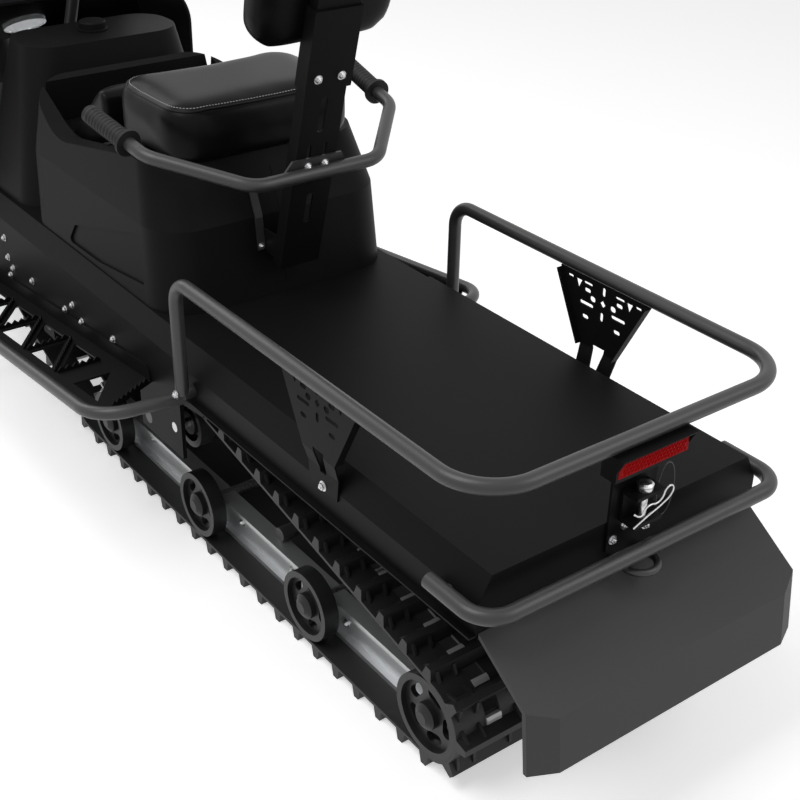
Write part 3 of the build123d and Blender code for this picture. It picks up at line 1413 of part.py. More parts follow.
# Hood: (Y, half width, top Z, corner radius) from the rear edge to the nose
hood_low = pan_rim + RUN
HOOD_SECTIONS = [
    (HOOD_REAR, HOOD_HALF, HOOD_REAR_TOP, HOOD_TOP_R),
    (HOOD_SHOULDER, HOOD_HALF, HOOD_SHOULDER_TOP, HOOD_TOP_R),
    (PAN_FRONT, PAN_NOSE_HALF, HOOD_NOSE_TOP, HOOD_NOSE_R),
]
slope = Vector(0, HOOD_SHOULDER - PAN_FRONT, HOOD_SHOULDER_TOP - HOOD_NOSE_TOP).normalized()
slope_out = Vector(0, -slope.Z, slope.Y)
nose_edge = Vector(0, PAN_FRONT, HOOD_NOSE_TOP)
lamp_plane = Plane(origin=nose_edge + slope * HEADLAMP_UP, x_dir=(1, 0, 0), z_dir=slope_out)
hinge_y = PAN_FRONT - HINGE_AHEAD
hinge_z = (pan_rim + hood_low) / 2
with BuildPart() as hood:
    for wall, mode in ((0.0, Mode.ADD), (HOOD_T, Mode.SUBTRACT)):
        for y, half_width, top_z, corner in HOOD_SECTIONS:
            ahead = wall if y == PAN_FRONT else 0.0
            with BuildSketch(cross(y + ahead)) as outline:
                with Locations((0, hood_low)):
                    Rectangle(
                        2 * (half_width - wall),
                        top_z - wall - hood_low,
                        align=(Align.CENTER, Align.MIN),
                    )
                fillet(outline.vertices().group_by(Axis.Y)[-1], corner - wall)
        loft(ruled=True, mode=mode)
    with BuildSketch(lamp_plane):
        with Locations((HEADLAMP_X, 0), (-HEADLAMP_X, 0)):
            Circle(HEADLAMP_R + FIT)
    extrude(amount=2 * HEADLAMP_DEPTH, both=True, mode=Mode.SUBTRACT)
    # Louvres through both sides and a grille through the nose
    with BuildSketch(side(-2 * HOOD_HALF)):
        with Locations((LOUVRE_Y, LOUVRE_Z)):
            with GridLocations(LOUVRE_PITCH, 0, LOUVRES, 1):
                SlotOverall(LOUVRE_LENGTH, LOUVRE_WIDTH, rotation=LOUVRE_TURN)
    extrude(amount=4 * HOOD_HALF, mode=Mode.SUBTRACT)
    with BuildSketch(cross(PAN_FRONT + 2 * HOOD_T)):
        with Locations((0, HOOD_NOSE_TOP - GRILLE_DROP)):
            with GridLocations(0, GRILLE_PITCH, 1, GRILLE_BARS):
                SlotOverall(GRILLE_LENGTH, GRILLE_WIDTH)
    extrude(amount=4 * HOOD_T, mode=Mode.SUBTRACT)
    with BuildSketch(side(-HINGE_HALF)):
        with Locations((hinge_y, hinge_z)):
            Circle(HINGE_KNUCKLE_R)
        with Locations((hinge_y, hood_low)):
            Rectangle(
                HINGE_AHEAD + HOOD_T / 2,
                HINGE_KNUCKLE_R - RUN / 2,
                align=(Align.MIN, Align.MIN),
            )
        with Locations((hinge_y, hinge_z)):
            Circle(HINGE_R + PIN_GAP, mode=Mode.SUBTRACT)
    extrude(amount=2 * HINGE_HALF)
hood.part.label = "hood"
export_step(hood.part, "parts/hood.step")

with BuildPart() as hood_hinge:
    with BuildSketch(side(-HINGE_HALF - PIN_GAP - HINGE_LUG)):
        with Locations((hinge_y, hinge_z)):
            Circle(HINGE_R)
    extrude(amount=2 * (HINGE_HALF + PIN_GAP + HINGE_LUG))
    for start in (HINGE_HALF + PIN_GAP, -HINGE_HALF - PIN_GAP - HINGE_LUG):
        with BuildSketch(side(start)):
            with Locations((hinge_y, hinge_z)):
                Circle(HINGE_KNUCKLE_R)
                Rectangle(
                    HINGE_AHEAD - FIT,
                    2 * HINGE_KNUCKLE_R,
                    align=(Align.MIN, Align.MAX),
                )
        extrude(amount=HINGE_LUG)
hood_hinge.part.label = "hood_hinge"
export_step(hood_hinge.part, "parts/hood_hinge.step")

with BuildPart() as headlamps:
    with BuildSketch(lamp_plane):
        with Locations((HEADLAMP_X, 0), (-HEADLAMP_X, 0)):
            Circle(HEADLAMP_R)
    extrude(amount=-HEADLAMP_DEPTH)
headlamps.part.label = "headlamps"
export_step(headlamps.part, "parts/headlamps.step")

# Wind screen: a strip of a leaning cylinder, trimmed to a trapezium and to the hood's top
roof = Vector(0, HOOD_REAR - HOOD_SHOULDER, HOOD_REAR_TOP - HOOD_SHOULDER_TOP).normalized()
roof_out = Vector(0, -roof.Z, roof.Y)
roof_at = Vector(0, HOOD_SHOULDER, HOOD_SHOULDER_TOP) + roof_out * FIT
screen_up = Vector(0, math.sin(math.radians(SCREEN_LEAN)), math.cos(math.radians(SCREEN_LEAN)))
screen_foot = Vector(0, SCREEN_FOOT_Y, HOOD_SHOULDER_TOP - HOOD_TOP_R)
with BuildPart() as wind_screen:
    with BuildSketch(Plane(origin=screen_foot, x_dir=(1, 0, 0), z_dir=screen_up)):
        with Locations((0, SCREEN_R)):
            Circle(SCREEN_R)
            Circle(SCREEN_R - SCREEN_T, mode=Mode.SUBTRACT)
        Rectangle(
            2 * SCREEN_HALF,
            SCREEN_R,
            align=(Align.CENTER, Align.MIN),
            mode=Mode.INTERSECT,
        )
    extrude(amount=SCREEN_RISE + HOOD_TOP_R)
    split(bisect_by=Plane(origin=roof_at, z_dir=roof_out), keep=Keep.TOP)
    with BuildSketch(cross(HOOD_REAR + SCREEN_RISE)):
        with BuildLine():
            top_z = HOOD_SHOULDER_TOP + SCREEN_RISE * screen_up.Z
            Polyline(
                *mirrored([(SCREEN_HALF, hood_low), (SCREEN_HALF, HOOD_REAR_TOP), (SCREEN_TOP_HALF, top_z)]),
                close=True,
            )
        make_face()
    extrude(amount=2 * SCREEN_RISE, mode=Mode.INTERSECT)
wind_screen.part.label = "wind_screen"
export_step(wind_screen.part, "parts/wind_screen.step")

# Steering column in a sleeve on the tunnel's front edge
column_up = Vector(0, math.sin(math.radians(COLUMN_LEAN)), math.cos(math.radians(COLUMN_LEAN)))
column_foot = Vector(0, COLUMN_FOOT_Y, COLUMN_FOOT_Z)
column_top = column_foot + column_up * COLUMN_LENGTH
sleeve_mid = column_foot + column_up * (COLUMN_SLEEVE_LENGTH / 2)
with BuildPart() as column_bracket:
    with BuildSketch(Plane(origin=column_foot, x_dir=(1, 0, 0), z_dir=column_up)):
        Circle(COLUMN_SLEEVE_R)
    extrude(amount=COLUMN_SLEEVE_LENGTH)
    with BuildSketch(side(-COLUMN_PLATE_T / 2)):
        with BuildLine():
            Polyline(
                (TUNNEL_FRONT, tub_foot),
                (TUNNEL_FRONT + COLUMN_PLATE_DEPTH, tub_foot),
                (sleeve_mid.Y + COLUMN_R, sleeve_mid.Z),
                (sleeve_mid.Y - COLUMN_R, sleeve_mid.Z),
                close=True,
            )
        make_face()
    extrude(amount=COLUMN_PLATE_T)
    with BuildSketch(Plane(origin=column_foot, x_dir=(1, 0, 0), z_dir=column_up)):
        Circle(COLUMN_R + PIN_GAP)
    extrude(amount=COLUMN_LENGTH, both=True, mode=Mode.SUBTRACT)
column_bracket.part.label = "column_bracket"
export_step(column_bracket.part, "parts/column_bracket.step")

bar_half = [
    Vector(BAR_HALF, column_top.Y + BAR_BACK, column_top.Z + BAR_RISE),
    Vector(BAR_MID_HALF, column_top.Y, column_top.Z),
]
with BuildPart() as handlebar:
    with BuildLine() as run:
        FilletPolyline(*bar_half, *[Vector(-p.X, p.Y, p.Z) for p in reversed(bar_half)], radius=BAR_BEND_R)
    with BuildSketch(Plane(origin=run.line @ 0, z_dir=run.line % 0)):
        Circle(BAR_R)
    sweep()
    with BuildSketch(Plane(origin=column_foot, x_dir=(1, 0, 0), z_dir=column_up)):
        Circle(COLUMN_R)
    extrude(amount=COLUMN_LENGTH)
    collar = column_foot + column_up * (COLUMN_SLEEVE_LENGTH + PIN_GAP)
    with BuildSketch(Plane(origin=collar, x_dir=(1, 0, 0), z_dir=column_up)):
        Circle(COLUMN_SLEEVE_R)
    extrude(amount=COLUMN_R)
handlebar.part.label = "handlebar"
export_step(handlebar.part, "parts/handlebar.step")

with BuildPart() as bar_grips:
    way = (bar_half[1] - bar_half[0]).normalized()
    with BuildSketch(Plane(origin=bar_half[0] - way * GRIP_CAP, z_dir=way)):
        Circle(BAR_GRIP_R)
    extrude(amount=BAR_GRIP_LENGTH + GRIP_CAP)
    with BuildSketch(Plane(origin=bar_half[0] - way * FIT, z_dir=way)):
        Circle(BAR_R + FIT)
    extrude(amount=BAR_GRIP_LENGTH + GRIP_CAP, mode=Mode.SUBTRACT)
    mirror(about=Plane.YZ)
bar_grips.part.label = "bar_grips"
export_step(bar_grips.part, "parts/bar_grips.step")

with BuildPart() as bar_pad:
    with BuildSketch(Plane.XY.offset(column_top.Z + BAR_R + FIT)):
        with Locations((0, column_top.Y)):
            RectangleRounded(2 * BAR_PAD_HALF, BAR_PAD_DEPTH, BAR_PAD_DEPTH / 3)
    extrude(amount=BAR_PAD_HEIGHT)
bar_pad.part.label = "bar_pad"
export_step(bar_pad.part, "parts/bar_pad.step")

# Ski legs and skis, one of each a side
saddle_in = LEG_FOOT_HALF + SADDLE_GAP
saddle_out = saddle_in + SADDLE_T
ski_low = KEEL_DEPTH
ski_top = ski_low + SKI_T
for hand, name in ((1, "left"), (-1, "right")):
    leg_x = hand * SKI_X
    with BuildPart() as leg:
        with BuildSketch(Plane.XY.offset(SKI_PIVOT_Z)):
            with Locations((leg_x, BEAM_Y)):
                Circle(LEG_R)
        extrude(amount=SLEEVE_TOP_Z + LEG_COLLAR + STEER_ARM_T - SKI_PIVOT_Z)
        with BuildSketch(Plane.XY.offset(SLEEVE_LOW_Z - PIN_GAP)):
            with Locations((leg_x, BEAM_Y)):
                Circle(SLEEVE_R)
        extrude(amount=-LEG_COLLAR)
        with BuildSketch(side(leg_x - LEG_FOOT_HALF)):
            with Locations((BEAM_Y, SKI_PIVOT_Z)):
                Circle(LEG_FOOT_R)
        extrude(amount=2 * LEG_FOOT_HALF)
        with BuildSketch(side(leg_x - saddle_out - SADDLE_GAP)):
            with Locations((BEAM_Y, SKI_PIVOT_Z)):
                Circle(SKI_BOLT_R)
        extrude(amount=2 * (saddle_out + SADDLE_GAP))
        with BuildSketch(Plane.XY.offset(SLEEVE_TOP_Z + LEG_COLLAR)):
            with Locations((leg_x, BEAM_Y)):
                Circle(SLEEVE_R)
                Rectangle(2 * LEG_R, STEER_ARM_LENGTH, align=(Align.CENTER, Align.MIN))
        extrude(amount=STEER_ARM_T)
    leg.part.label = f"ski_leg_{name}"
    export_step(leg.part, f"parts/ski_leg_{name}.step")

    with BuildPart() as ski:
        with BuildSketch(side(leg_x - SKI_HALF)):
            with BuildLine():
                arc = math.radians(SKI_CURVE_ARC)
                low = [
                    (SKI_CURVE_Y - SKI_CURVE_R * math.sin(a), ski_low + SKI_CURVE_R * (1 - math.cos(a)))
                    for a in (0.0, arc / 2, arc)
                ]
                inner_r = SKI_CURVE_R - SKI_T
                high = [
                    (SKI_CURVE_Y - inner_r * math.sin(a), ski_top + inner_r * (1 - math.cos(a)))
                    for a in (0.0, arc / 2, arc)
                ]
                Line((SKI_TAIL, ski_low), low[0])
                ThreePointArc(*low)
                Line(low[2], high[2])
                ThreePointArc(*reversed(high))
                Line(high[0], (SKI_TAIL, ski_top))
                Line((SKI_TAIL, ski_top), (SKI_TAIL, ski_low))
            make_face()
        extrude(amount=2 * SKI_HALF)
        with BuildSketch(Plane.XY):
            tip_y = low[2][0]
            with Locations((leg_x, (tip_y + SKI_TAIL) / 2)):
                RectangleRounded(2 * SKI_HALF, SKI_TAIL - tip_y, SKI_TIP_R)
        extrude(amount=SKI_CURVE_R, mode=Mode.INTERSECT)
        with BuildSketch(Plane.XY.offset(ski_low)):
            with Locations((leg_x - SKI_RIB_X, SKI_CURVE_Y), (leg_x + SKI_RIB_X, SKI_CURVE_Y)):
                Rectangle(
                    SKI_RIB_WIDTH,
                    SKI_TAIL - SKI_HALF - SKI_CURVE_Y,
                    align=(Align.CENTER, Align.MIN),
                )
        extrude(amount=SKI_T + SKI_RIB_RISE)
        with BuildSketch(Plane.XY):
            with Locations((leg_x, SKI_CURVE_Y)):
                Rectangle(
                    2 * KEEL_HALF,
                    SKI_TAIL - SKI_HALF - SKI_CURVE_Y,
                    align=(Align.CENTER, Align.MIN),
                )
        extrude(amount=ski_low)
        for start in (leg_x + saddle_in, leg_x - saddle_out):
            with BuildSketch(side(start)):
                with BuildLine():
                    Polyline(
                        (BEAM_Y - SADDLE_LENGTH / 2, ski_top),
                        (BEAM_Y + SADDLE_LENGTH / 2, ski_top),
                        (BEAM_Y + LEG_FOOT_R, SKI_PIVOT_Z),
                        (BEAM_Y - LEG_FOOT_R, SKI_PIVOT_Z),
                        close=True,
                    )
                make_face()
                with Locations((BEAM_Y, SKI_PIVOT_Z)):
                    Circle(LEG_FOOT_R)
                    Circle(SKI_BOLT_R + PIN_GAP, mode=Mode.SUBTRACT)
            extrude(amount=SADDLE_T)
        arc = math.radians(SKI_LOOP_ARC)
        root_y = SKI_CURVE_Y - (SKI_CURVE_R - SKI_T / 2) * math.sin(arc)
        root_z = ski_low + SKI_CURVE_R - (SKI_CURVE_R - SKI_T / 2) * math.cos(arc)
        with BuildLine() as run:
            FilletPolyline(
                (leg_x - SKI_LOOP_HALF, root_y, root_z),
                (leg_x - SKI_LOOP_HALF, root_y + SKI_LOOP_BACK, root_z + SKI_LOOP_RISE),
                (leg_x + SKI_LOOP_HALF, root_y + SKI_LOOP_BACK, root_z + SKI_LOOP_RISE),
                (leg_x + SKI_LOOP_HALF, root_y, root_z),
                radius=SKI_LOOP_BEND_R,
            )
        with BuildSketch(Plane(origin=run.line @ 0, z_dir=run.line % 0)):
            Circle(SKI_LOOP_R)
        sweep()
    ski.part.label = f"ski_{name}"
    export_step(ski.part, f"parts/ski_{name}.step")
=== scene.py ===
import json
import math

import bmesh
import bpy
from mathutils import Matrix, Vector
from mathutils.bvhtree import BVHTree


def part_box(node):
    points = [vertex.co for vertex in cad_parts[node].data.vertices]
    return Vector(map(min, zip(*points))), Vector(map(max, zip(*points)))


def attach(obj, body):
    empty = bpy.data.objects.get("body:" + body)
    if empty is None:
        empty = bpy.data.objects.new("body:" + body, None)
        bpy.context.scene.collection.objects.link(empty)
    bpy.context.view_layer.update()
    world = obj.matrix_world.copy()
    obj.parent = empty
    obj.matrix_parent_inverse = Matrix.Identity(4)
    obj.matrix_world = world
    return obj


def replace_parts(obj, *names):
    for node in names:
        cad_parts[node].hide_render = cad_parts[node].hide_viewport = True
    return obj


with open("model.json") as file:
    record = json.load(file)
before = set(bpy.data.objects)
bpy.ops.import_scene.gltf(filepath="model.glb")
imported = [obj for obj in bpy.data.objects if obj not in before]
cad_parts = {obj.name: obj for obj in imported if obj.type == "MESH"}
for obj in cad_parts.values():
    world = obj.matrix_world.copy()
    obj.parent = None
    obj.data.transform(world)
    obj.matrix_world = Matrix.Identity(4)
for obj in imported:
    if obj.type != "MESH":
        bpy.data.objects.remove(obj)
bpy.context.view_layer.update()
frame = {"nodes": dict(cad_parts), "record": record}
nodes = frame["nodes"]
scene = bpy.context.scene
scene.view_settings.view_transform = "Standard"

UPWARD = Vector((0, 0, 1))
REARWARD = Vector((0, 1, 0))

# Camera: standpoint in metres, turn in degrees, lens and sensor in millimetres.
CAMERA_PLACE = Vector((1.2549, 2.4656, 1.6112))
CAMERA_AZIMUTH = 143.14
CAMERA_ELEVATION = 30.16
CAMERA_ROLL = 0.98
CAMERA_LENS = 60.39
CAMERA_SENSOR = 36.0
CAMERA_SHIFT = (0.0091, 0.0012)

# Studio: sizes in metres, lamp power in watts.
FLOOR_SIZE = 40.0
FLOOR_COLOUR = (0.9, 0.9, 0.9)
FLOOR_ROUGHNESS = 0.9
FLOOR_GLOW = 0.5
WORLD_LIGHT = 0.32
WHITE = (1.0, 1.0, 1.0, 1.0)
# name, place, aimed at, side, power
LAMPS = (
    ("key_lamp", (1.8, 0.6, 3.6), (0.0, 0.5, 0.4), 2.2, 62),
    ("rear_lamp", (-1.6, 3.2, 2.6), (0.0, 1.0, 0.4), 1.8, 22),
    ("front_lamp", (0.6, -3.4, 3.0), (0.0, -0.6, 0.5), 2.4, 40),
)

# Finishes by name, most of them a material slot's: colour, roughness and its spread, metal, specular level,
# share of clear glass, grain size in metres and grain depth in metres.
FINISHES = {
    "painted_sheet": dict(colour=(0.0055, 0.0055, 0.006), rough=0.48, spread=0.06, specular=0.07,
                          grain=0.0012, depth=0.00003),
    "painted_tube": dict(colour=(0.032, 0.032, 0.033), rough=0.38, spread=0.05, specular=0.5,
                         grain=0.0009, depth=0.00004),
    "moulded_plastic": dict(colour=(0.006, 0.006, 0.0065), rough=0.5, spread=0.06, specular=0.07,
                            grain=0.0016, depth=0.00012),
    "flap_plastic": dict(colour=(0.06, 0.06, 0.0605), rough=0.66, spread=0.06, specular=0.25,
                         grain=0.0018, depth=0.0002),
    "vinyl": dict(colour=(0.004, 0.004, 0.0043), rough=0.34, spread=0.05, specular=0.09,
                  grain=0.0022, depth=0.00008),
    "thread": dict(colour=(0.4, 0.4, 0.39), rough=0.7, spread=0.05, specular=0.2,
                   grain=0.0006, depth=0.0001),
    "webbing": dict(colour=(0.01, 0.01, 0.011), rough=0.8, spread=0.05, specular=0.15,
                    grain=0.0014, depth=0.0003),
    "track_rubber": dict(colour=(0.016, 0.016, 0.0165), rough=0.5, spread=0.08, specular=0.35,
                         grain=0.002, depth=0.00012),
    "grip_rubber": dict(colour=(0.01, 0.01, 0.0105), rough=0.6, spread=0.06, specular=0.25,
                        grain=0.0012, depth=0.0001),
    "wheel_plastic": dict(colour=(0.012, 0.012, 0.0125), rough=0.4, spread=0.06, specular=0.3,
                          grain=0.0014, depth=0.00006),
    "rail_aluminium": dict(colour=(0.66, 0.67, 0.68), rough=0.42, spread=0.08, metal=1.0, specular=0.5,
                           grain=0.0012, depth=0.00003),
    "bare_steel": dict(colour=(0.6, 0.6, 0.61), rough=0.28, spread=0.07, metal=1.0, specular=0.5,
                       grain=0.001, depth=0.00003),
    "zinc": dict(colour=(0.5, 0.5, 0.5), rough=0.45, spread=0.07, metal=0.35, specular=0.5,
                 grain=0.001, depth=0.00003),
    "engine_metal": dict(colour=(0.25, 0.25, 0.26), rough=0.55, spread=0.08, metal=1.0, specular=0.5,
                         grain=0.0015, depth=0.0001),
    "red_lens": dict(colour=(0.34, 0.001, 0.002), rough=0.3, spread=0.04, specular=0.03,
                     grain=0.003, depth=0.00003),
    "lamp_glass": dict(colour=(0.8, 0.82, 0.84), rough=0.05, spread=0.01, specular=0.5, clear=0.85,
                       grain=0.004, depth=0.00002),
    "screen": dict(colour=(0.08, 0.08, 0.085), rough=0.06, spread=0.01, specular=0.5, clear=0.9,
                   grain=0.004, depth=0.00001),
}
GRAIN_DETAIL = 3.0
# Nodes that show another finish than their slot's own
OTHER_FINISH = {"snow_flap": "flap_plastic"}


def make_finish(name, colour, rough, spread, specular, grain, depth, metal=0.0, clear=0.0):
    """A surface with a fine grain: the noise varies the roughness and lifts a shallow bump."""
    material = bpy.data.materials.new(name)
    material.use_nodes = True
    tree = material.node_tree
    shader = tree.nodes["Principled BSDF"]
    shader.inputs["Base Color"].default_value = (*colour, 1.0)
    shader.inputs["Metallic"].default_value = metal
    shader.inputs["Specular IOR Level"].default_value = specular
    shader.inputs["Transmission Weight"].default_value = clear
    place = tree.nodes.new("ShaderNodeTexCoord")
    noise = tree.nodes.new("ShaderNodeTexNoise")
    noise.inputs["Scale"].default_value = 1.0 / grain
    noise.inputs["Detail"].default_value = GRAIN_DETAIL
    tree.links.new(place.outputs["Object"], noise.inputs["Vector"])
    wear = tree.nodes.new("ShaderNodeMapRange")
    wear.inputs["To Min"].default_value = rough - spread
    wear.inputs["To Max"].default_value = rough + spread
    tree.links.new(noise.outputs["Fac"], wear.inputs["Value"])
    tree.links.new(wear.outputs["Result"], shader.inputs["Roughness"])
    bump = tree.nodes.new("ShaderNodeBump")
    bump.inputs["Distance"].default_value = depth
    tree.links.new(noise.outputs["Fac"], bump.inputs["Height"])
    tree.links.new(bump.outputs["Normal"], shader.inputs["Normal"])
    return material


finishes = {name: make_finish(name + "_finish", **values) for name, values in FINISHES.items()}
for subpart in frame["record"]["subparts"]:
    surface = nodes[subpart["node"]].data
    surface.materials.clear()
    surface.materials.append(finishes[OTHER_FINISH.get(subpart["node"], subpart["material_slot"])])


def add_piece(name, mesh, slot, body="chassis", finish=None):
    """Links a mesh as a piece of the object, with the slot's finish or another, riding on a body."""
    piece = bpy.data.objects.new(name, mesh)
    scene.collection.objects.link(piece)
    mesh.materials.clear()
    mesh.materials.append(finishes[finish or slot])
    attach(piece, body)
    return piece


def finished(edit, name, slot, body="chassis", finish=None):
    """Turns an edited mesh into a piece."""
    bmesh.ops.recalc_face_normals(edit, faces=edit.faces)
    mesh = bpy.data.meshes.new(name)
    edit.to_mesh(mesh)
    edit.free()
    return add_piece(name, mesh, slot, body, finish)


def skin(edit, rings):
    """Adds the faces between rings of vertices, and one across each end."""
    for low, high in zip(rings, rings[1:]):
        for at in range(len(low)):
            edit.faces.new((low[at - 1], low[at], high[at], high[at - 1]))
    edit.faces.new(rings[0])
    edit.faces.new(rings[-1])


def turned(edit, place, axis, profile, sides):
    """Adds a turned body: (radius, height) points swept round an axis from a place, closed at both ends."""
    turn = Vector(axis).to_track_quat("Z", "Y").to_matrix()
    angles = [2 * math.pi * side / sides for side in range(sides)]
    rings = []
    for radius, height in profile:
        offsets = [Vector((radius * math.cos(a), radius * math.sin(a), height)) for a in angles]
        rings.append([edit.verts.new(Vector(place) + turn @ offset) for offset in offsets])
    skin(edit, rings)


# A bolt in shares of its head's radius: number of sides, then (radius, height) points
BOLT_PARTS = (
    (18, ((1.45, 0.0), (1.45, 0.2))),
    (6, ((1.0, 0.2), (1.0, 0.85), (0.86, 1.0))),
    (10, ((0.5, 1.0), (0.5, 1.25), (0.4, 1.35))),
)


def bolt(edit, place, axis, radius):
    """Adds a washer, a six-sided head and the chamfered end of the thread."""
    for sides, profile in BOLT_PARTS:
        turned(edit, place, axis, [(radius * r, radius * h) for r, h in profile], sides)


# Wires: bevel resolution of the round section, and stretches between two points
WIRE_ROUNDING = 2
WIRE_STRETCHES = 4


def wire_mesh(points, radius, closed=False):
    """A round wire through points, as a mesh."""
    curve = bpy.data.curves.new("wire", "CURVE")
    curve.dimensions = "3D"
    curve.bevel_depth = radius
    curve.bevel_resolution = WIRE_ROUNDING
    curve.resolution_u = WIRE_STRETCHES
    curve.use_fill_caps = True
    spline = curve.splines.new("BEZIER")
    spline.use_cyclic_u = closed
    spline.bezier_points.add(len(points) - 1)
    for knot, point in zip(spline.bezier_points, points):
        knot.co = point
        knot.handle_left_type = "AUTO"
        knot.handle_right_type = "AUTO"
    holder = bpy.data.objects.new("wire", curve)
    scene.collection.objects.link(holder)
    bpy.context.view_layer.update()
    graph = bpy.context.evaluated_depsgraph_get()
    mesh = bpy.data.meshes.new_from_object(holder.evaluated_get(graph), depsgraph=graph)
    bpy.data.objects.remove(holder)
    bpy.data.curves.remove(curve)
    mesh.polygons.foreach_set("use_smooth", [True] * len(mesh.polygons))
    return mesh


def both_hands(point):
    """A point and its mirror image across the machine, each with its side's sign."""
    return [(1, Vector(point)), (-1, Vector((-point[0], point[1], point[2])))]


def spread(span, steps):
    """Even steps from one value to another, both ends included."""
    low, high = span
    return [low + (high - low) * step / steps for step in range(steps + 1)]


def surface_tree(mesh):
    """A mesh's faces, ready to cast rays at."""
    return BVHTree.FromPolygons([v.co for v in mesh.vertices], [p.vertices for p in mesh.polygons])


# Rays are cast from this far above or behind the machine's origin, in metres, clear of the machine.
RAY_START = 2.0

# Soft pieces: voxel size, how far the cover may swell and the start's inset, in metres.
VOXEL = 0.006
SWELL_CAP = 0.007
SOFT_INSET = 0.003
SOFT_PRESSURE = 4.0
SOFT_FRAMES = 20
SMOOTH_TURNS = 45
# The share by which the cover's fabric draws in
SOFT_SHRINK = 0.02
# node, fill
SOFT_NODES = (("driver_cushion", 0.8), ("passenger_cushion", 0.8), ("backrest_pad", 0.8))


def applied(piece):
    """The piece's mesh with its modifiers made permanent."""
    bpy.context.view_layer.update()
    graph = bpy.context.evaluated_depsgraph_get()
    mesh = bpy.data.meshes.new_from_object(piece.evaluated_get(graph), depsgraph=graph)
    piece.modifiers.clear()
    piece.data = mesh
    return mesh


def stuffed(node):
    """A stuffed cover blown up from a CAD solid, flat where it rests."""
    piece = bpy.data.objects.new(node + "_cover", nodes[node].data.copy())
    scene.collection.objects.link(piece)
    remesh = piece.modifiers.new("remesh", "REMESH")
    remesh.mode = "VOXEL"
    remesh.voxel_size = VOXEL
    mesh = applied(piece)
    rest = [vertex.co - vertex.normal * SOFT_INSET for vertex in mesh.vertices]
    for vertex, start in zip(mesh.vertices, rest):
        vertex.co = start
    low = min(point.z for point in rest)
    cloth = piece.modifiers.new("cloth", "CLOTH")
    cloth.settings.use_pressure = True
    cloth.settings.uniform_pressure_force = SOFT_PRESSURE
    cloth.settings.effector_weights.gravity = 0.0
    cloth.settings.shrink_min = SOFT_SHRINK
    cloth.point_cache.frame_end = SOFT_FRAMES
    for step in range(1, SOFT_FRAMES + 1):
        scene.frame_set(step)
    mesh = applied(piece)
    scene.frame_set(1)
    for vertex, start in zip(mesh.vertices, rest):
        move = vertex.co - start
        if move.length > SWELL_CAP:
            move = move * (SWELL_CAP / move.length)
        vertex.co = start + move
        vertex.co.z = max(vertex.co.z, low)
    smooth = piece.modifiers.new("smooth", "SMOOTH")
    smooth.iterations = SMOOTH_TURNS
    subdivide = piece.modifiers.new("subdivide", "SUBSURF")
    subdivide.levels = 1
    mesh = applied(piece)
    mesh.polygons.foreach_set("use_smooth", [True] * len(mesh.polygons))
    mesh.materials.clear()
    mesh.materials.append(finishes["vinyl"])
    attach(piece, "chassis")
    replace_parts(piece, node)
    return piece


covers = {node: stuffed(node) for node, fill in SOFT_NODES}

# Stitched seam round the passenger's seat: inset from the cushion's edge, corner, welt and stitch sizes,
# in metres
SEAM_INSET = 0.02
SEAM_CORNER = 0.05
SEAM_WELT = 0.0022
WELT_STEP = 0.012
STITCH_STEP = 0.0062
STITCH_LENGTH = 0.0042
STITCH_R = 0.0009
STITCH_IN = 0.006
STITCH_SIDES = 6
# The stitch's outline: (share of its radius, share of its length from its middle)
STITCH_PROFILE = ((0.3, -0.5), (1.0, -0.25), (1.0, 0.25), (0.3, 0.5))
# Degrees between two points of a round corner
CORNER_TURN = 6


def rounded_ring(low, high, inset, corner, step):
    """Points round a rectangle with round corners, at even steps."""
    x0, x1 = low[0] + inset, high[0] - inset
    y0, y1 = low[1] + inset, high[1] - inset
    ring = []
    turns = ((x1 - corner, y1 - corner, 0), (x0 + corner, y1 - corner, 90),
             (x0 + corner, y0 + corner, 180), (x1 - corner, y0 + corner, 270))
    for x, y, start in turns:
        for angle in range(start, start + 91, CORNER_TURN):
            ring.append(Vector((x + corner * math.cos(math.radians(angle)),
                                y + corner * math.sin(math.radians(angle)), 0.0)))
    ring.append(ring[0])
    points, left = [], 0.0
    for start, end in zip(ring, ring[1:]):
        length = (end - start).length
        while left < length:
            points.append(start.lerp(end, left / length))
            left += step
        left -= length
    return points


def laid(points, cover):
    """The points dropped onto a cover from above."""
    tree = surface_tree(cover.data)
    return [tree.ray_cast(Vector((p.x, p.y, RAY_START)), -UPWARD)[0] for p in points]


def seat_seam(node):
    """A welt round the top of a cushion's cover, with a row of stitches inside it."""
    low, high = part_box(node)
    welt = laid(rounded_ring(low, high, SEAM_INSET, SEAM_CORNER, WELT_STEP), covers[node])
    add_piece("seat_welt", wire_mesh(welt, SEAM_WELT, True), "vinyl")
    inner = rounded_ring(low, high, SEAM_INSET + STITCH_IN, SEAM_CORNER - STITCH_IN, STITCH_STEP)
    row = laid(inner, covers[node])
    profile = [(STITCH_R * r, STITCH_LENGTH * h) for r, h in STITCH_PROFILE]
    edit = bmesh.new()
    for place, onward in zip(row, row[1:] + row[:1]):
        turned(edit, place, (onward - place).normalized(), profile, STITCH_SIDES)
    finished(edit, "seat_stitching", "vinyl", finish="thread")


seat_seam("passenger_cushion")

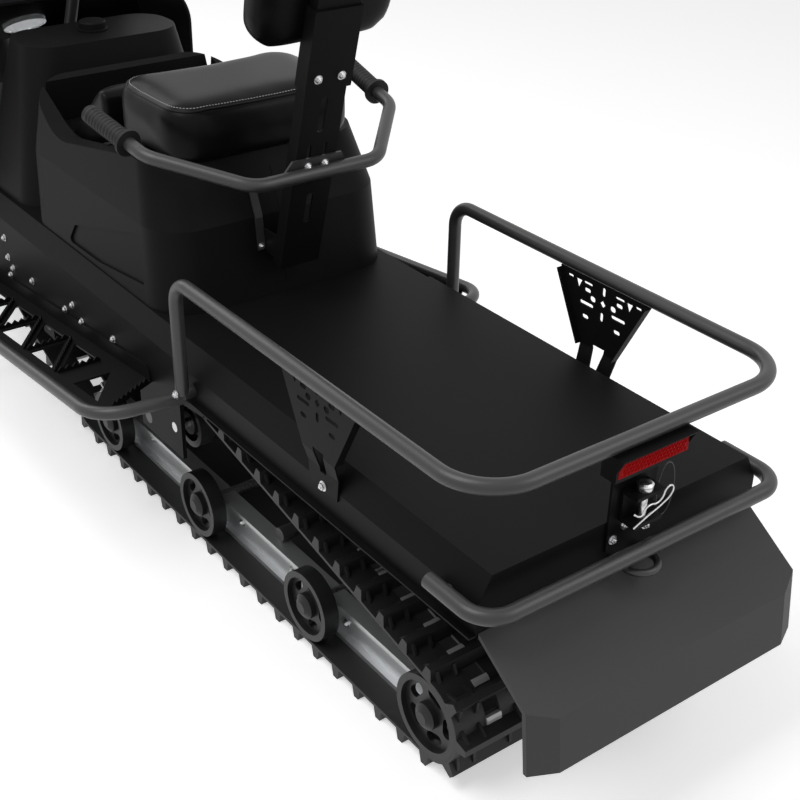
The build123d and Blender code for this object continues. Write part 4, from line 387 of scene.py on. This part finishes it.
# Bolt heads on both sides: the node they sit on, head radius, X of its left side, (Y, Z) of each, in metres
BOLT_R = 0.0058
PLATE_BOLT_R = 0.0062
SIDE_BOLTS = (
    ("tunnel", BOLT_R, 0.2828, (
        (-0.301, 0.395), (-0.292, 0.351), (-0.270, 0.332), (-0.290, 0.308), (-0.161, 0.342), (0.010, 0.342),
        (0.052, 0.369), (0.093, 0.347), (0.242, 0.370),
    )),
    ("rack_frame", BOLT_R, 0.3205, ((0.575, 0.412),)),
    ("rack_plates", PLATE_BOLT_R, 0.2892, ((1.000, 0.437),)),
    ("skid_rails", BOLT_R, 0.1895, (
        (0.192, 0.080), (0.352, 0.080), (0.560, 0.072), (0.740, 0.066), (0.920, 0.060),
    )),
)


def side_bolts(node, radius, left, places):
    """A node's bolts on the left side and on the right."""
    edit = bmesh.new()
    for y, z in places:
        for hand, point in both_hands((left, y, z)):
            bolt(edit, point, (hand, 0, 0), radius)
    finished(edit, node + "_bolts", "bare_steel")


for row in SIDE_BOLTS:
    side_bolts(*row)

# Backrest post: foot, lean, and for the clamp's and the sleeve's pair of bolts (X of the left one,
# distance up the post, distance behind its line), in metres
POST_FOOT = Vector((0.0, 0.476, 0.556))
POST_LEAN = math.radians(15.0)
POST_UP = Vector((0.0, math.sin(POST_LEAN), math.cos(POST_LEAN)))
POST_BACK = Vector((0.0, math.cos(POST_LEAN), -math.sin(POST_LEAN)))
CLAMP_BOLTS = (0.018, 0.226, 0.0182)
SLEEVE_BOLTS = (0.024, 0.402, 0.019)


def post_bolts():
    """The bolts of the post's clamp and of its sleeve."""
    edit = bmesh.new()
    for x, up, out in (CLAMP_BOLTS, SLEEVE_BOLTS):
        for hand, across in both_hands((x, 0.0, 0.0)):
            bolt(edit, POST_FOOT + across + POST_UP * up + POST_BACK * out, POST_BACK, BOLT_R)
    finished(edit, "post_bolts", "bare_steel")


post_bolts()

# Ribs of the grips: number, height and the plain end's length, in metres
GRIP_RIBS = 11
GRIP_RIB_RISE = 0.0011
GRIP_PLAIN = 0.004
GRIP_SIDES = 24
# One rib's outline: (share of the rib's pitch, share of its height)
GRIP_RIB = ((0.0, 0.0), (0.3, 1.0), (0.6, 1.0), (0.9, 0.0))
# Grips of the grab bar and the handlebar: name, body, outer end, inward point, radius, length, in metres
GRIPS = (
    ("grab_grip", "chassis", (0.284, 0.244, 0.829), (0.265, 0.414, 0.797), 0.0172, 0.112),
    ("bar_grip", "handlebar", (0.370, -0.3127, 1.0445), (0.090, -0.3727, 0.9995), 0.0162, 0.110),
)


def ribbed_grips(name, body, end, inward, radius, length):
    """A ribbed sleeve on each side's grip."""
    pitch = (length - 2 * GRIP_PLAIN) / GRIP_RIBS
    profile = [(radius - GRIP_RIB_RISE, 0.0)]
    for rib in range(GRIP_RIBS):
        profile += [
            (radius + GRIP_RIB_RISE * rise, GRIP_PLAIN + (rib + along) * pitch)
            for along, rise in GRIP_RIB
        ]
    profile.append((radius - GRIP_RIB_RISE, length))
    edit = bmesh.new()
    for (hand, outer), (other, inner) in zip(both_hands(end), both_hands(inward)):
        turned(edit, outer, inner - outer, profile, GRIP_SIDES)
    finished(edit, name + "_ribs", "grip_rubber", body)


for grip in GRIPS:
    ribbed_grips(*grip)

# Rear lamp: small six-sided facets across the lens, in metres
FACET_R = 0.0036
FACET_STEP = 0.0066
FACET_RISE = 0.0012
FACET_SIDES = 6
# A facet's tip as a share of its radius, and the pitch of the rows and the lowest row's height as shares
# of a step
FACET_TIP = 0.25
FACET_ROW = 0.87
FACET_MARGIN = 0.75


def lens_facets():
    """Rows of facets on the lens's rear face, every second row half a step over."""
    low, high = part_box("lamp_lens")
    profile = ((FACET_R, 0.0), (FACET_TIP * FACET_R, FACET_RISE))
    edit = bmesh.new()
    rows = int((high[2] - low[2] - FACET_STEP) / (FACET_STEP * FACET_ROW))
    columns = int((high[0] - low[0] - 1.5 * FACET_STEP) / FACET_STEP)
    for row in range(rows):
        for column in range(columns):
            x = low[0] + FACET_STEP * (1 + column + 0.5 * (row % 2))
            z = low[2] + FACET_STEP * (FACET_MARGIN + FACET_ROW * row)
            turned(edit, (x, high[1], z), REARWARD, profile, FACET_SIDES)
    finished(edit, "lens_facets", "red_lens")


lens_facets()

# Hitch: pin head, clip wire, lanyard and the nuts of its plate, in metres
PIN_AT = (0.0, 1.3994, 0.5452)
PIN_HEAD = ((0.011, 0.0), (0.0125, 0.0015), (0.0125, 0.004), (0.0095, 0.0065), (0.003, 0.0072))
PIN_SIDES = 24
CLIP_WIRE = 0.0016
CLIP_Y = 1.4175
# (X, Z) along the clip, from the end of its straight leg round the eye to the end of its wavy leg
CLIP_LINE = (
    (0.036, 0.494), (0.010, 0.505), (-0.022, 0.517), (-0.036, 0.526), (-0.040, 0.536), (-0.033, 0.543),
    (-0.024, 0.539), (-0.019, 0.528), (-0.008, 0.522), (0.004, 0.524), (0.014, 0.521), (0.021, 0.511),
    (0.028, 0.512), (0.036, 0.518),
)
LANYARD_WIRE = 0.001
LANYARD_AT = Vector((-0.062, 1.3845, 0.508))
LANYARD_HALF = (0.018, 0.046)
# Degrees between two points of the lanyard
LANYARD_TURN = 20
NUT_R = 0.0055
NUT_Y = 1.3792
PLATE_NUTS = ((0.034, 0.452), (-0.034, 0.452), (0.012, 0.470), (-0.012, 0.470))


def hitch_trim():
    """The hitch pin's head with the plate's nuts, the spring clip and the lanyard's loop."""
    edit = bmesh.new()
    turned(edit, PIN_AT, UPWARD, PIN_HEAD, PIN_SIDES)
    for x, z in PLATE_NUTS:
        bolt(edit, (x, NUT_Y, z), REARWARD, NUT_R)
    finished(edit, "hitch_nuts", "bare_steel")
    clip = [Vector((x, CLIP_Y, z)) for x, z in CLIP_LINE]
    add_piece("hitch_clip", wire_mesh(clip, CLIP_WIRE), "bare_steel")
    half_x, half_z = LANYARD_HALF
    angles = [math.radians(turn) for turn in range(0, 360, LANYARD_TURN)]
    loop = [LANYARD_AT + Vector((half_x * math.cos(a), 0.0, half_z * math.sin(a))) for a in angles]
    add_piece("hitch_lanyard", wire_mesh(loop, LANYARD_WIRE, True), "painted_tube")


hitch_trim()

# Track loop as the belt runs: (Y, Z, radius) of its circles, belt, lug spacing and clip sizes, in metres
LOOP = ((1.224, 0.103, 0.075), (0.475, 0.280, 0.050), (-0.430, 0.300, 0.075), (0.0, 0.158, 0.130))
BELT_T = 0.006
LUG_PITCH = 0.064
CLIP_BACK = 0.0445
CLIP_SPAN = (0.160, 0.190)
# The clip's section: (along the belt, out of the belt)
CLIP_SECTION = (
    (-0.0067, -0.0062), (-0.0052, -0.0062), (-0.0052, 0.0002), (0.0067, 0.0002),
    (0.0063, 0.0030), (0.0000, 0.0042), (-0.0060, 0.0030),
)
# Ribs that brace each lug, front and back: their section, thickness and places across the belt
RIB_SECTION = ((0.006, -0.004), (0.024, -0.004), (0.0215, 0.002), (0.0095, 0.0165), (0.006, 0.0165))
RIB_T = 0.005
RIBS = (0.035, 0.085, 0.130, 0.205, 0.238)


def on_belt(circle, angle):
    """A point on the belt's outside over a circle, in the machine's middle plane."""
    y, z, radius = circle
    return Vector((0.0, y + (radius + BELT_T) * math.cos(angle), z + (radius + BELT_T) * math.sin(angle)))


def belt_places(back):
    """Places on the belt a distance behind each lug, each with the angle of its outward normal."""
    normals = []
    for (y1, z1, r1), (y2, z2, r2) in zip(LOOP, LOOP[1:] + LOOP[:1]):
        heading = math.atan2(z2 - z1, y2 - y1)
        normals.append(heading - math.acos((r1 - r2) / math.hypot(y2 - y1, z2 - z1)))
    runs = []
    for at, circle in enumerate(LOOP):
        onward = LOOP[(at + 1) % len(LOOP)]
        arc = ((normals[at] - normals[at - 1]) % (2 * math.pi)) * (circle[2] + BELT_T)
        flat = (on_belt(onward, normals[at]) - on_belt(circle, normals[at])).length
        runs.append((circle, onward, normals[at - 1], normals[at], arc, flat))
    length = sum(arc + flat for *_, arc, flat in runs)
    count = round(length / LUG_PITCH)
    places = []
    for lug in range(count):
        along = (lug * length / count - back) % length
        for circle, onward, first, last, arc, flat in runs:
            if along < arc:
                angle = first + along / (circle[2] + BELT_T)
                places.append((on_belt(circle, angle), angle))
                break
            if along < arc + flat:
                places.append((on_belt(circle, last).lerp(on_belt(onward, last), (along - arc) / flat), last))
                break
            along -= arc + flat
    return places


def belt_prism(edit, place, angle, section, span):
    """Adds a section, (along the belt, out of the belt), drawn out across the belt from one X to another."""
    out = Vector((0.0, math.cos(angle), math.sin(angle)))
    along = Vector((0.0, math.sin(angle), -math.cos(angle)))
    skin(edit, [
        [edit.verts.new(place + along * a + out * h + Vector((x, 0, 0))) for a, h in section]
        for x in span
    ])


def track_detail():
    """A steel clip on the bar between each window and the next lug, and the ribs of the lugs."""
    clips = bmesh.new()
    for place, angle in belt_places(CLIP_BACK):
        for hand in (1, -1):
            belt_prism(clips, place, angle, CLIP_SECTION, [hand * x for x in CLIP_SPAN])
    finished(clips, "track_clips", "bare_steel", finish="zinc")
    ribs = bmesh.new()
    for place, angle in belt_places(0.0):
        for flank in (1, -1):
            section = [(flank * along, out) for along, out in RIB_SECTION]
            for hand in (1, -1):
                for x in RIBS:
                    belt_prism(ribs, place, angle, section, (hand * (x - RIB_T / 2), hand * (x + RIB_T / 2)))
    finished(ribs, "track_ribs", "track_rubber")


track_detail()

# Seat tub's rear wall: the moulding seam and the strip beside the post, in metres
SEAM_R = 0.0012
SEAM_Z = (0.500, 0.720)
STRIP_X = 0.050
STRIP_HALF = 0.008
STRIP_T = 0.003
STRIP_Z = (0.575, 0.700)
STRIP_BOLT_R = 0.005
# The strip's section: (across from its middle, out of the wall)
STRIP_SECTION = ((-STRIP_HALF, 0.0), (STRIP_HALF, 0.0), (STRIP_HALF, STRIP_T), (-STRIP_HALF, STRIP_T))
WALL_STEPS = 12


def wall_point(tree, x, z):
    """The point of the tub's rear wall at a place, and the wall's normal."""
    hit, normal, face, far = tree.ray_cast(Vector((x, RAY_START, z)), -REARWARD)
    return hit, normal


def rear_wall_trim():
    """The seam down the wall's middle, and the strip with its two bolts."""
    tree = surface_tree(nodes["seat_tub"].data)
    seam = [wall_point(tree, 0.0, z)[0] for z in spread(SEAM_Z, WALL_STEPS)]
    add_piece("tub_seam", wire_mesh(seam, SEAM_R), "moulded_plastic")
    strip = bmesh.new()
    rings = []
    for z in spread(STRIP_Z, WALL_STEPS):
        corners = []
        for across, out in STRIP_SECTION:
            hit, normal = wall_point(tree, STRIP_X + across, z)
            corners.append(strip.verts.new(hit + normal * out))
        rings.append(corners)
    skin(strip, rings)
    finished(strip, "wall_strip", "painted_tube")
    bolts = bmesh.new()
    for z in (STRIP_Z[0] + STRIP_HALF, STRIP_Z[1] - STRIP_HALF):
        hit, normal = wall_point(tree, STRIP_X, z)
        bolt(bolts, hit + normal * STRIP_T, normal, STRIP_BOLT_R)
    finished(bolts, "strip_bolts", "bare_steel")


rear_wall_trim()

# Fuel cap: radius in metres, and its outline as (share of the radius, height in metres)
CAP_R = 0.034
CAP_PROFILE = ((1.0, 0.0), (1.0, 0.004), (0.88, 0.005), (0.88, 0.018), (0.8, 0.021), (0.3, 0.0215))
CAP_SIDES = 20


def fuel_cap():
    """A cap on the middle of the tank cover's top."""
    low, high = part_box("tank_cover")
    edit = bmesh.new()
    middle = (0.0, (low[1] + high[1]) / 2, high[2])
    turned(edit, middle, UPWARD, [(CAP_R * r, h) for r, h in CAP_PROFILE], CAP_SIDES)
    finished(edit, "fuel_cap", "moulded_plastic")


fuel_cap()

# Levers of the handlebar and the perches that carry them, on the left side, in metres
LEVER_R = 0.0042
LEVER_LINE = ((0.228, -0.360, 1.018), (0.240, -0.372, 1.022), (0.275, -0.372, 1.028), (0.320, -0.362, 1.036),
              (0.352, -0.352, 1.042))
PERCH_AT = (0.236, -0.3414, 1.0230)
PERCH_WAY = (-0.280, -0.060, -0.045)
PERCH_PROFILE = ((0.0125, 0.0), (0.0165, 0.002), (0.0165, 0.018), (0.0125, 0.020))
PERCH_SIDES = 18


def bar_levers():
    """A perch and a lever on each side of the handlebar."""
    edit = bmesh.new()
    for (hand, place), (other, way) in zip(both_hands(PERCH_AT), both_hands(PERCH_WAY)):
        turned(edit, place, way, PERCH_PROFILE, PERCH_SIDES)
    for hand in (1, -1):
        lever = wire_mesh([Vector((hand * x, y, z)) for x, y, z in LEVER_LINE], LEVER_R)
        edit.from_mesh(lever)
        bpy.data.meshes.remove(lever)
    finished(edit, "bar_levers", "painted_tube", "handlebar")


bar_levers()

# Webbing strap between the cushions: steps along it, height of the weave's ribs and thickness unit, in metres
STRAP_STEPS = 80
STRAP_WAVE = 0.0005
STRAP_T = 0.0014
# The strap's section: (share of its half width, height in thickness units)
STRAP_SECTION = ((-1.0, 0.0), (-0.94, 0.6), (0.94, 0.6), (1.0, 0.0), (0.94, -1.0), (-0.94, -1.0))


def woven_strap(node):
    """The strap rebuilt along its CAD solid's section, with a fine cross weave and thin edges."""
    outline = [Vector((0.0, v.co.y, v.co.z)) for v in nodes[node].data.vertices]
    front = min(outline, key=lambda p: p.y)
    back = max(outline, key=lambda p: p.y)
    top = max(outline, key=lambda p: p.z)
    bottom = min(outline, key=lambda p: p.z)
    middle = (front + back + top + bottom) / 4
    width = max(top - front, top - back, key=lambda side: side.length)
    lift = Vector((0.0, -width.z, width.y)).normalized()
    lift = lift if lift.z > 0 else -lift
    low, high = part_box(node)
    edit = bmesh.new()
    rings = []
    for step, x in enumerate(spread((low[0], high[0]), STRAP_STEPS)):
        ring = []
        for across, height in STRAP_SECTION:
            rib = STRAP_WAVE * (step % 2) if height > 0 else 0.0
            offset = width * (across / 2) + lift * (STRAP_T * height + rib)
            ring.append(edit.verts.new(Vector((x, middle.y, middle.z)) + offset))
        rings.append(ring)
    skin(edit, rings)
    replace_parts(finished(edit, node + "_band", "webbing"), node)


woven_strap("seat_strap")


def aim(place, target):
    """The turn that points an object's -Z axis from a place to a target."""
    return (Vector(target) - Vector(place)).to_track_quat("-Z", "Y").to_matrix().to_4x4()


def studio_lamp(name, place, target, side, power):
    """A square lamp turned to its target."""
    data = bpy.data.lights.new(name, "AREA")
    data.size = side
    data.energy = power
    lamp = bpy.data.objects.new(name, data)
    lamp.matrix_world = Matrix.Translation(place) @ aim(place, target)
    scene.collection.objects.link(lamp)


def seen_share(tree):
    """1 for rays that see the background itself: camera, glossy and transmitted ones."""
    path = tree.nodes.new("ShaderNodeLightPath")
    share = path.outputs["Is Camera Ray"]
    for kind in ("Is Glossy Ray", "Is Transmission Ray"):
        larger = tree.nodes.new("ShaderNodeMath")
        larger.operation = "MAXIMUM"
        tree.links.new(share, larger.inputs[0])
        tree.links.new(path.outputs[kind], larger.inputs[1])
        share = larger.outputs["Value"]
    return share


def white_world():
    """White where the background is seen, and a dimmer even light on everything else."""
    world = bpy.data.worlds.new("studio")
    scene.world = world
    world.use_nodes = True
    tree = world.node_tree
    background = tree.nodes["Background"]
    background.inputs["Color"].default_value = WHITE
    strength = tree.nodes.new("ShaderNodeMapRange")
    strength.inputs["To Min"].default_value = WORLD_LIGHT
    strength.inputs["To Max"].default_value = 1.0
    tree.links.new(seen_share(tree), strength.inputs["Value"])
    tree.links.new(strength.outputs["Result"], background.inputs["Strength"])


def pale_floor():
    """A matt floor that takes the shadow and glows a little where it is seen."""
    mesh = bpy.data.meshes.new("floor")
    edit = bmesh.new()
    bmesh.ops.create_grid(edit, x_segments=1, y_segments=1, size=FLOOR_SIZE / 2)
    edit.to_mesh(mesh)
    edit.free()
    floor = bpy.data.objects.new("floor", mesh)
    scene.collection.objects.link(floor)
    material = bpy.data.materials.new("floor_paint")
    material.use_nodes = True
    tree = material.node_tree
    shader = tree.nodes["Principled BSDF"]
    shader.inputs["Base Color"].default_value = (*FLOOR_COLOUR, 1.0)
    shader.inputs["Roughness"].default_value = FLOOR_ROUGHNESS
    shader.inputs["Specular IOR Level"].default_value = 0.0
    shader.inputs["Emission Color"].default_value = WHITE
    glow = tree.nodes.new("ShaderNodeMapRange")
    glow.inputs["To Max"].default_value = FLOOR_GLOW
    tree.links.new(seen_share(tree), glow.inputs["Value"])
    tree.links.new(glow.outputs["Result"], shader.inputs["Emission Strength"])
    mesh.materials.append(material)


def rear_camera():
    """The camera behind the machine, above it and to its left."""
    azimuth = math.radians(CAMERA_AZIMUTH)
    elevation = math.radians(CAMERA_ELEVATION)
    back = Vector((math.sin(azimuth) * math.cos(elevation),
                   -math.cos(azimuth) * math.cos(elevation),
                   math.sin(elevation)))
    right = Vector((math.cos(azimuth), math.sin(azimuth), 0.0))
    turn = Matrix((right, back.cross(right), back)).transposed().to_4x4()
    data = bpy.data.cameras.new("camera")
    data.lens = CAMERA_LENS
    data.sensor_width = CAMERA_SENSOR
    data.shift_x, data.shift_y = CAMERA_SHIFT
    camera = bpy.data.objects.new("camera", data)
    camera.matrix_world = (Matrix.Translation(CAMERA_PLACE) @ turn
                           @ Matrix.Rotation(math.radians(CAMERA_ROLL), 4, "Z"))
    scene.collection.objects.link(camera)
    scene.camera = camera


for lamp_row in LAMPS:
    studio_lamp(*lamp_row)
white_world()
pale_floor()
rear_camera()
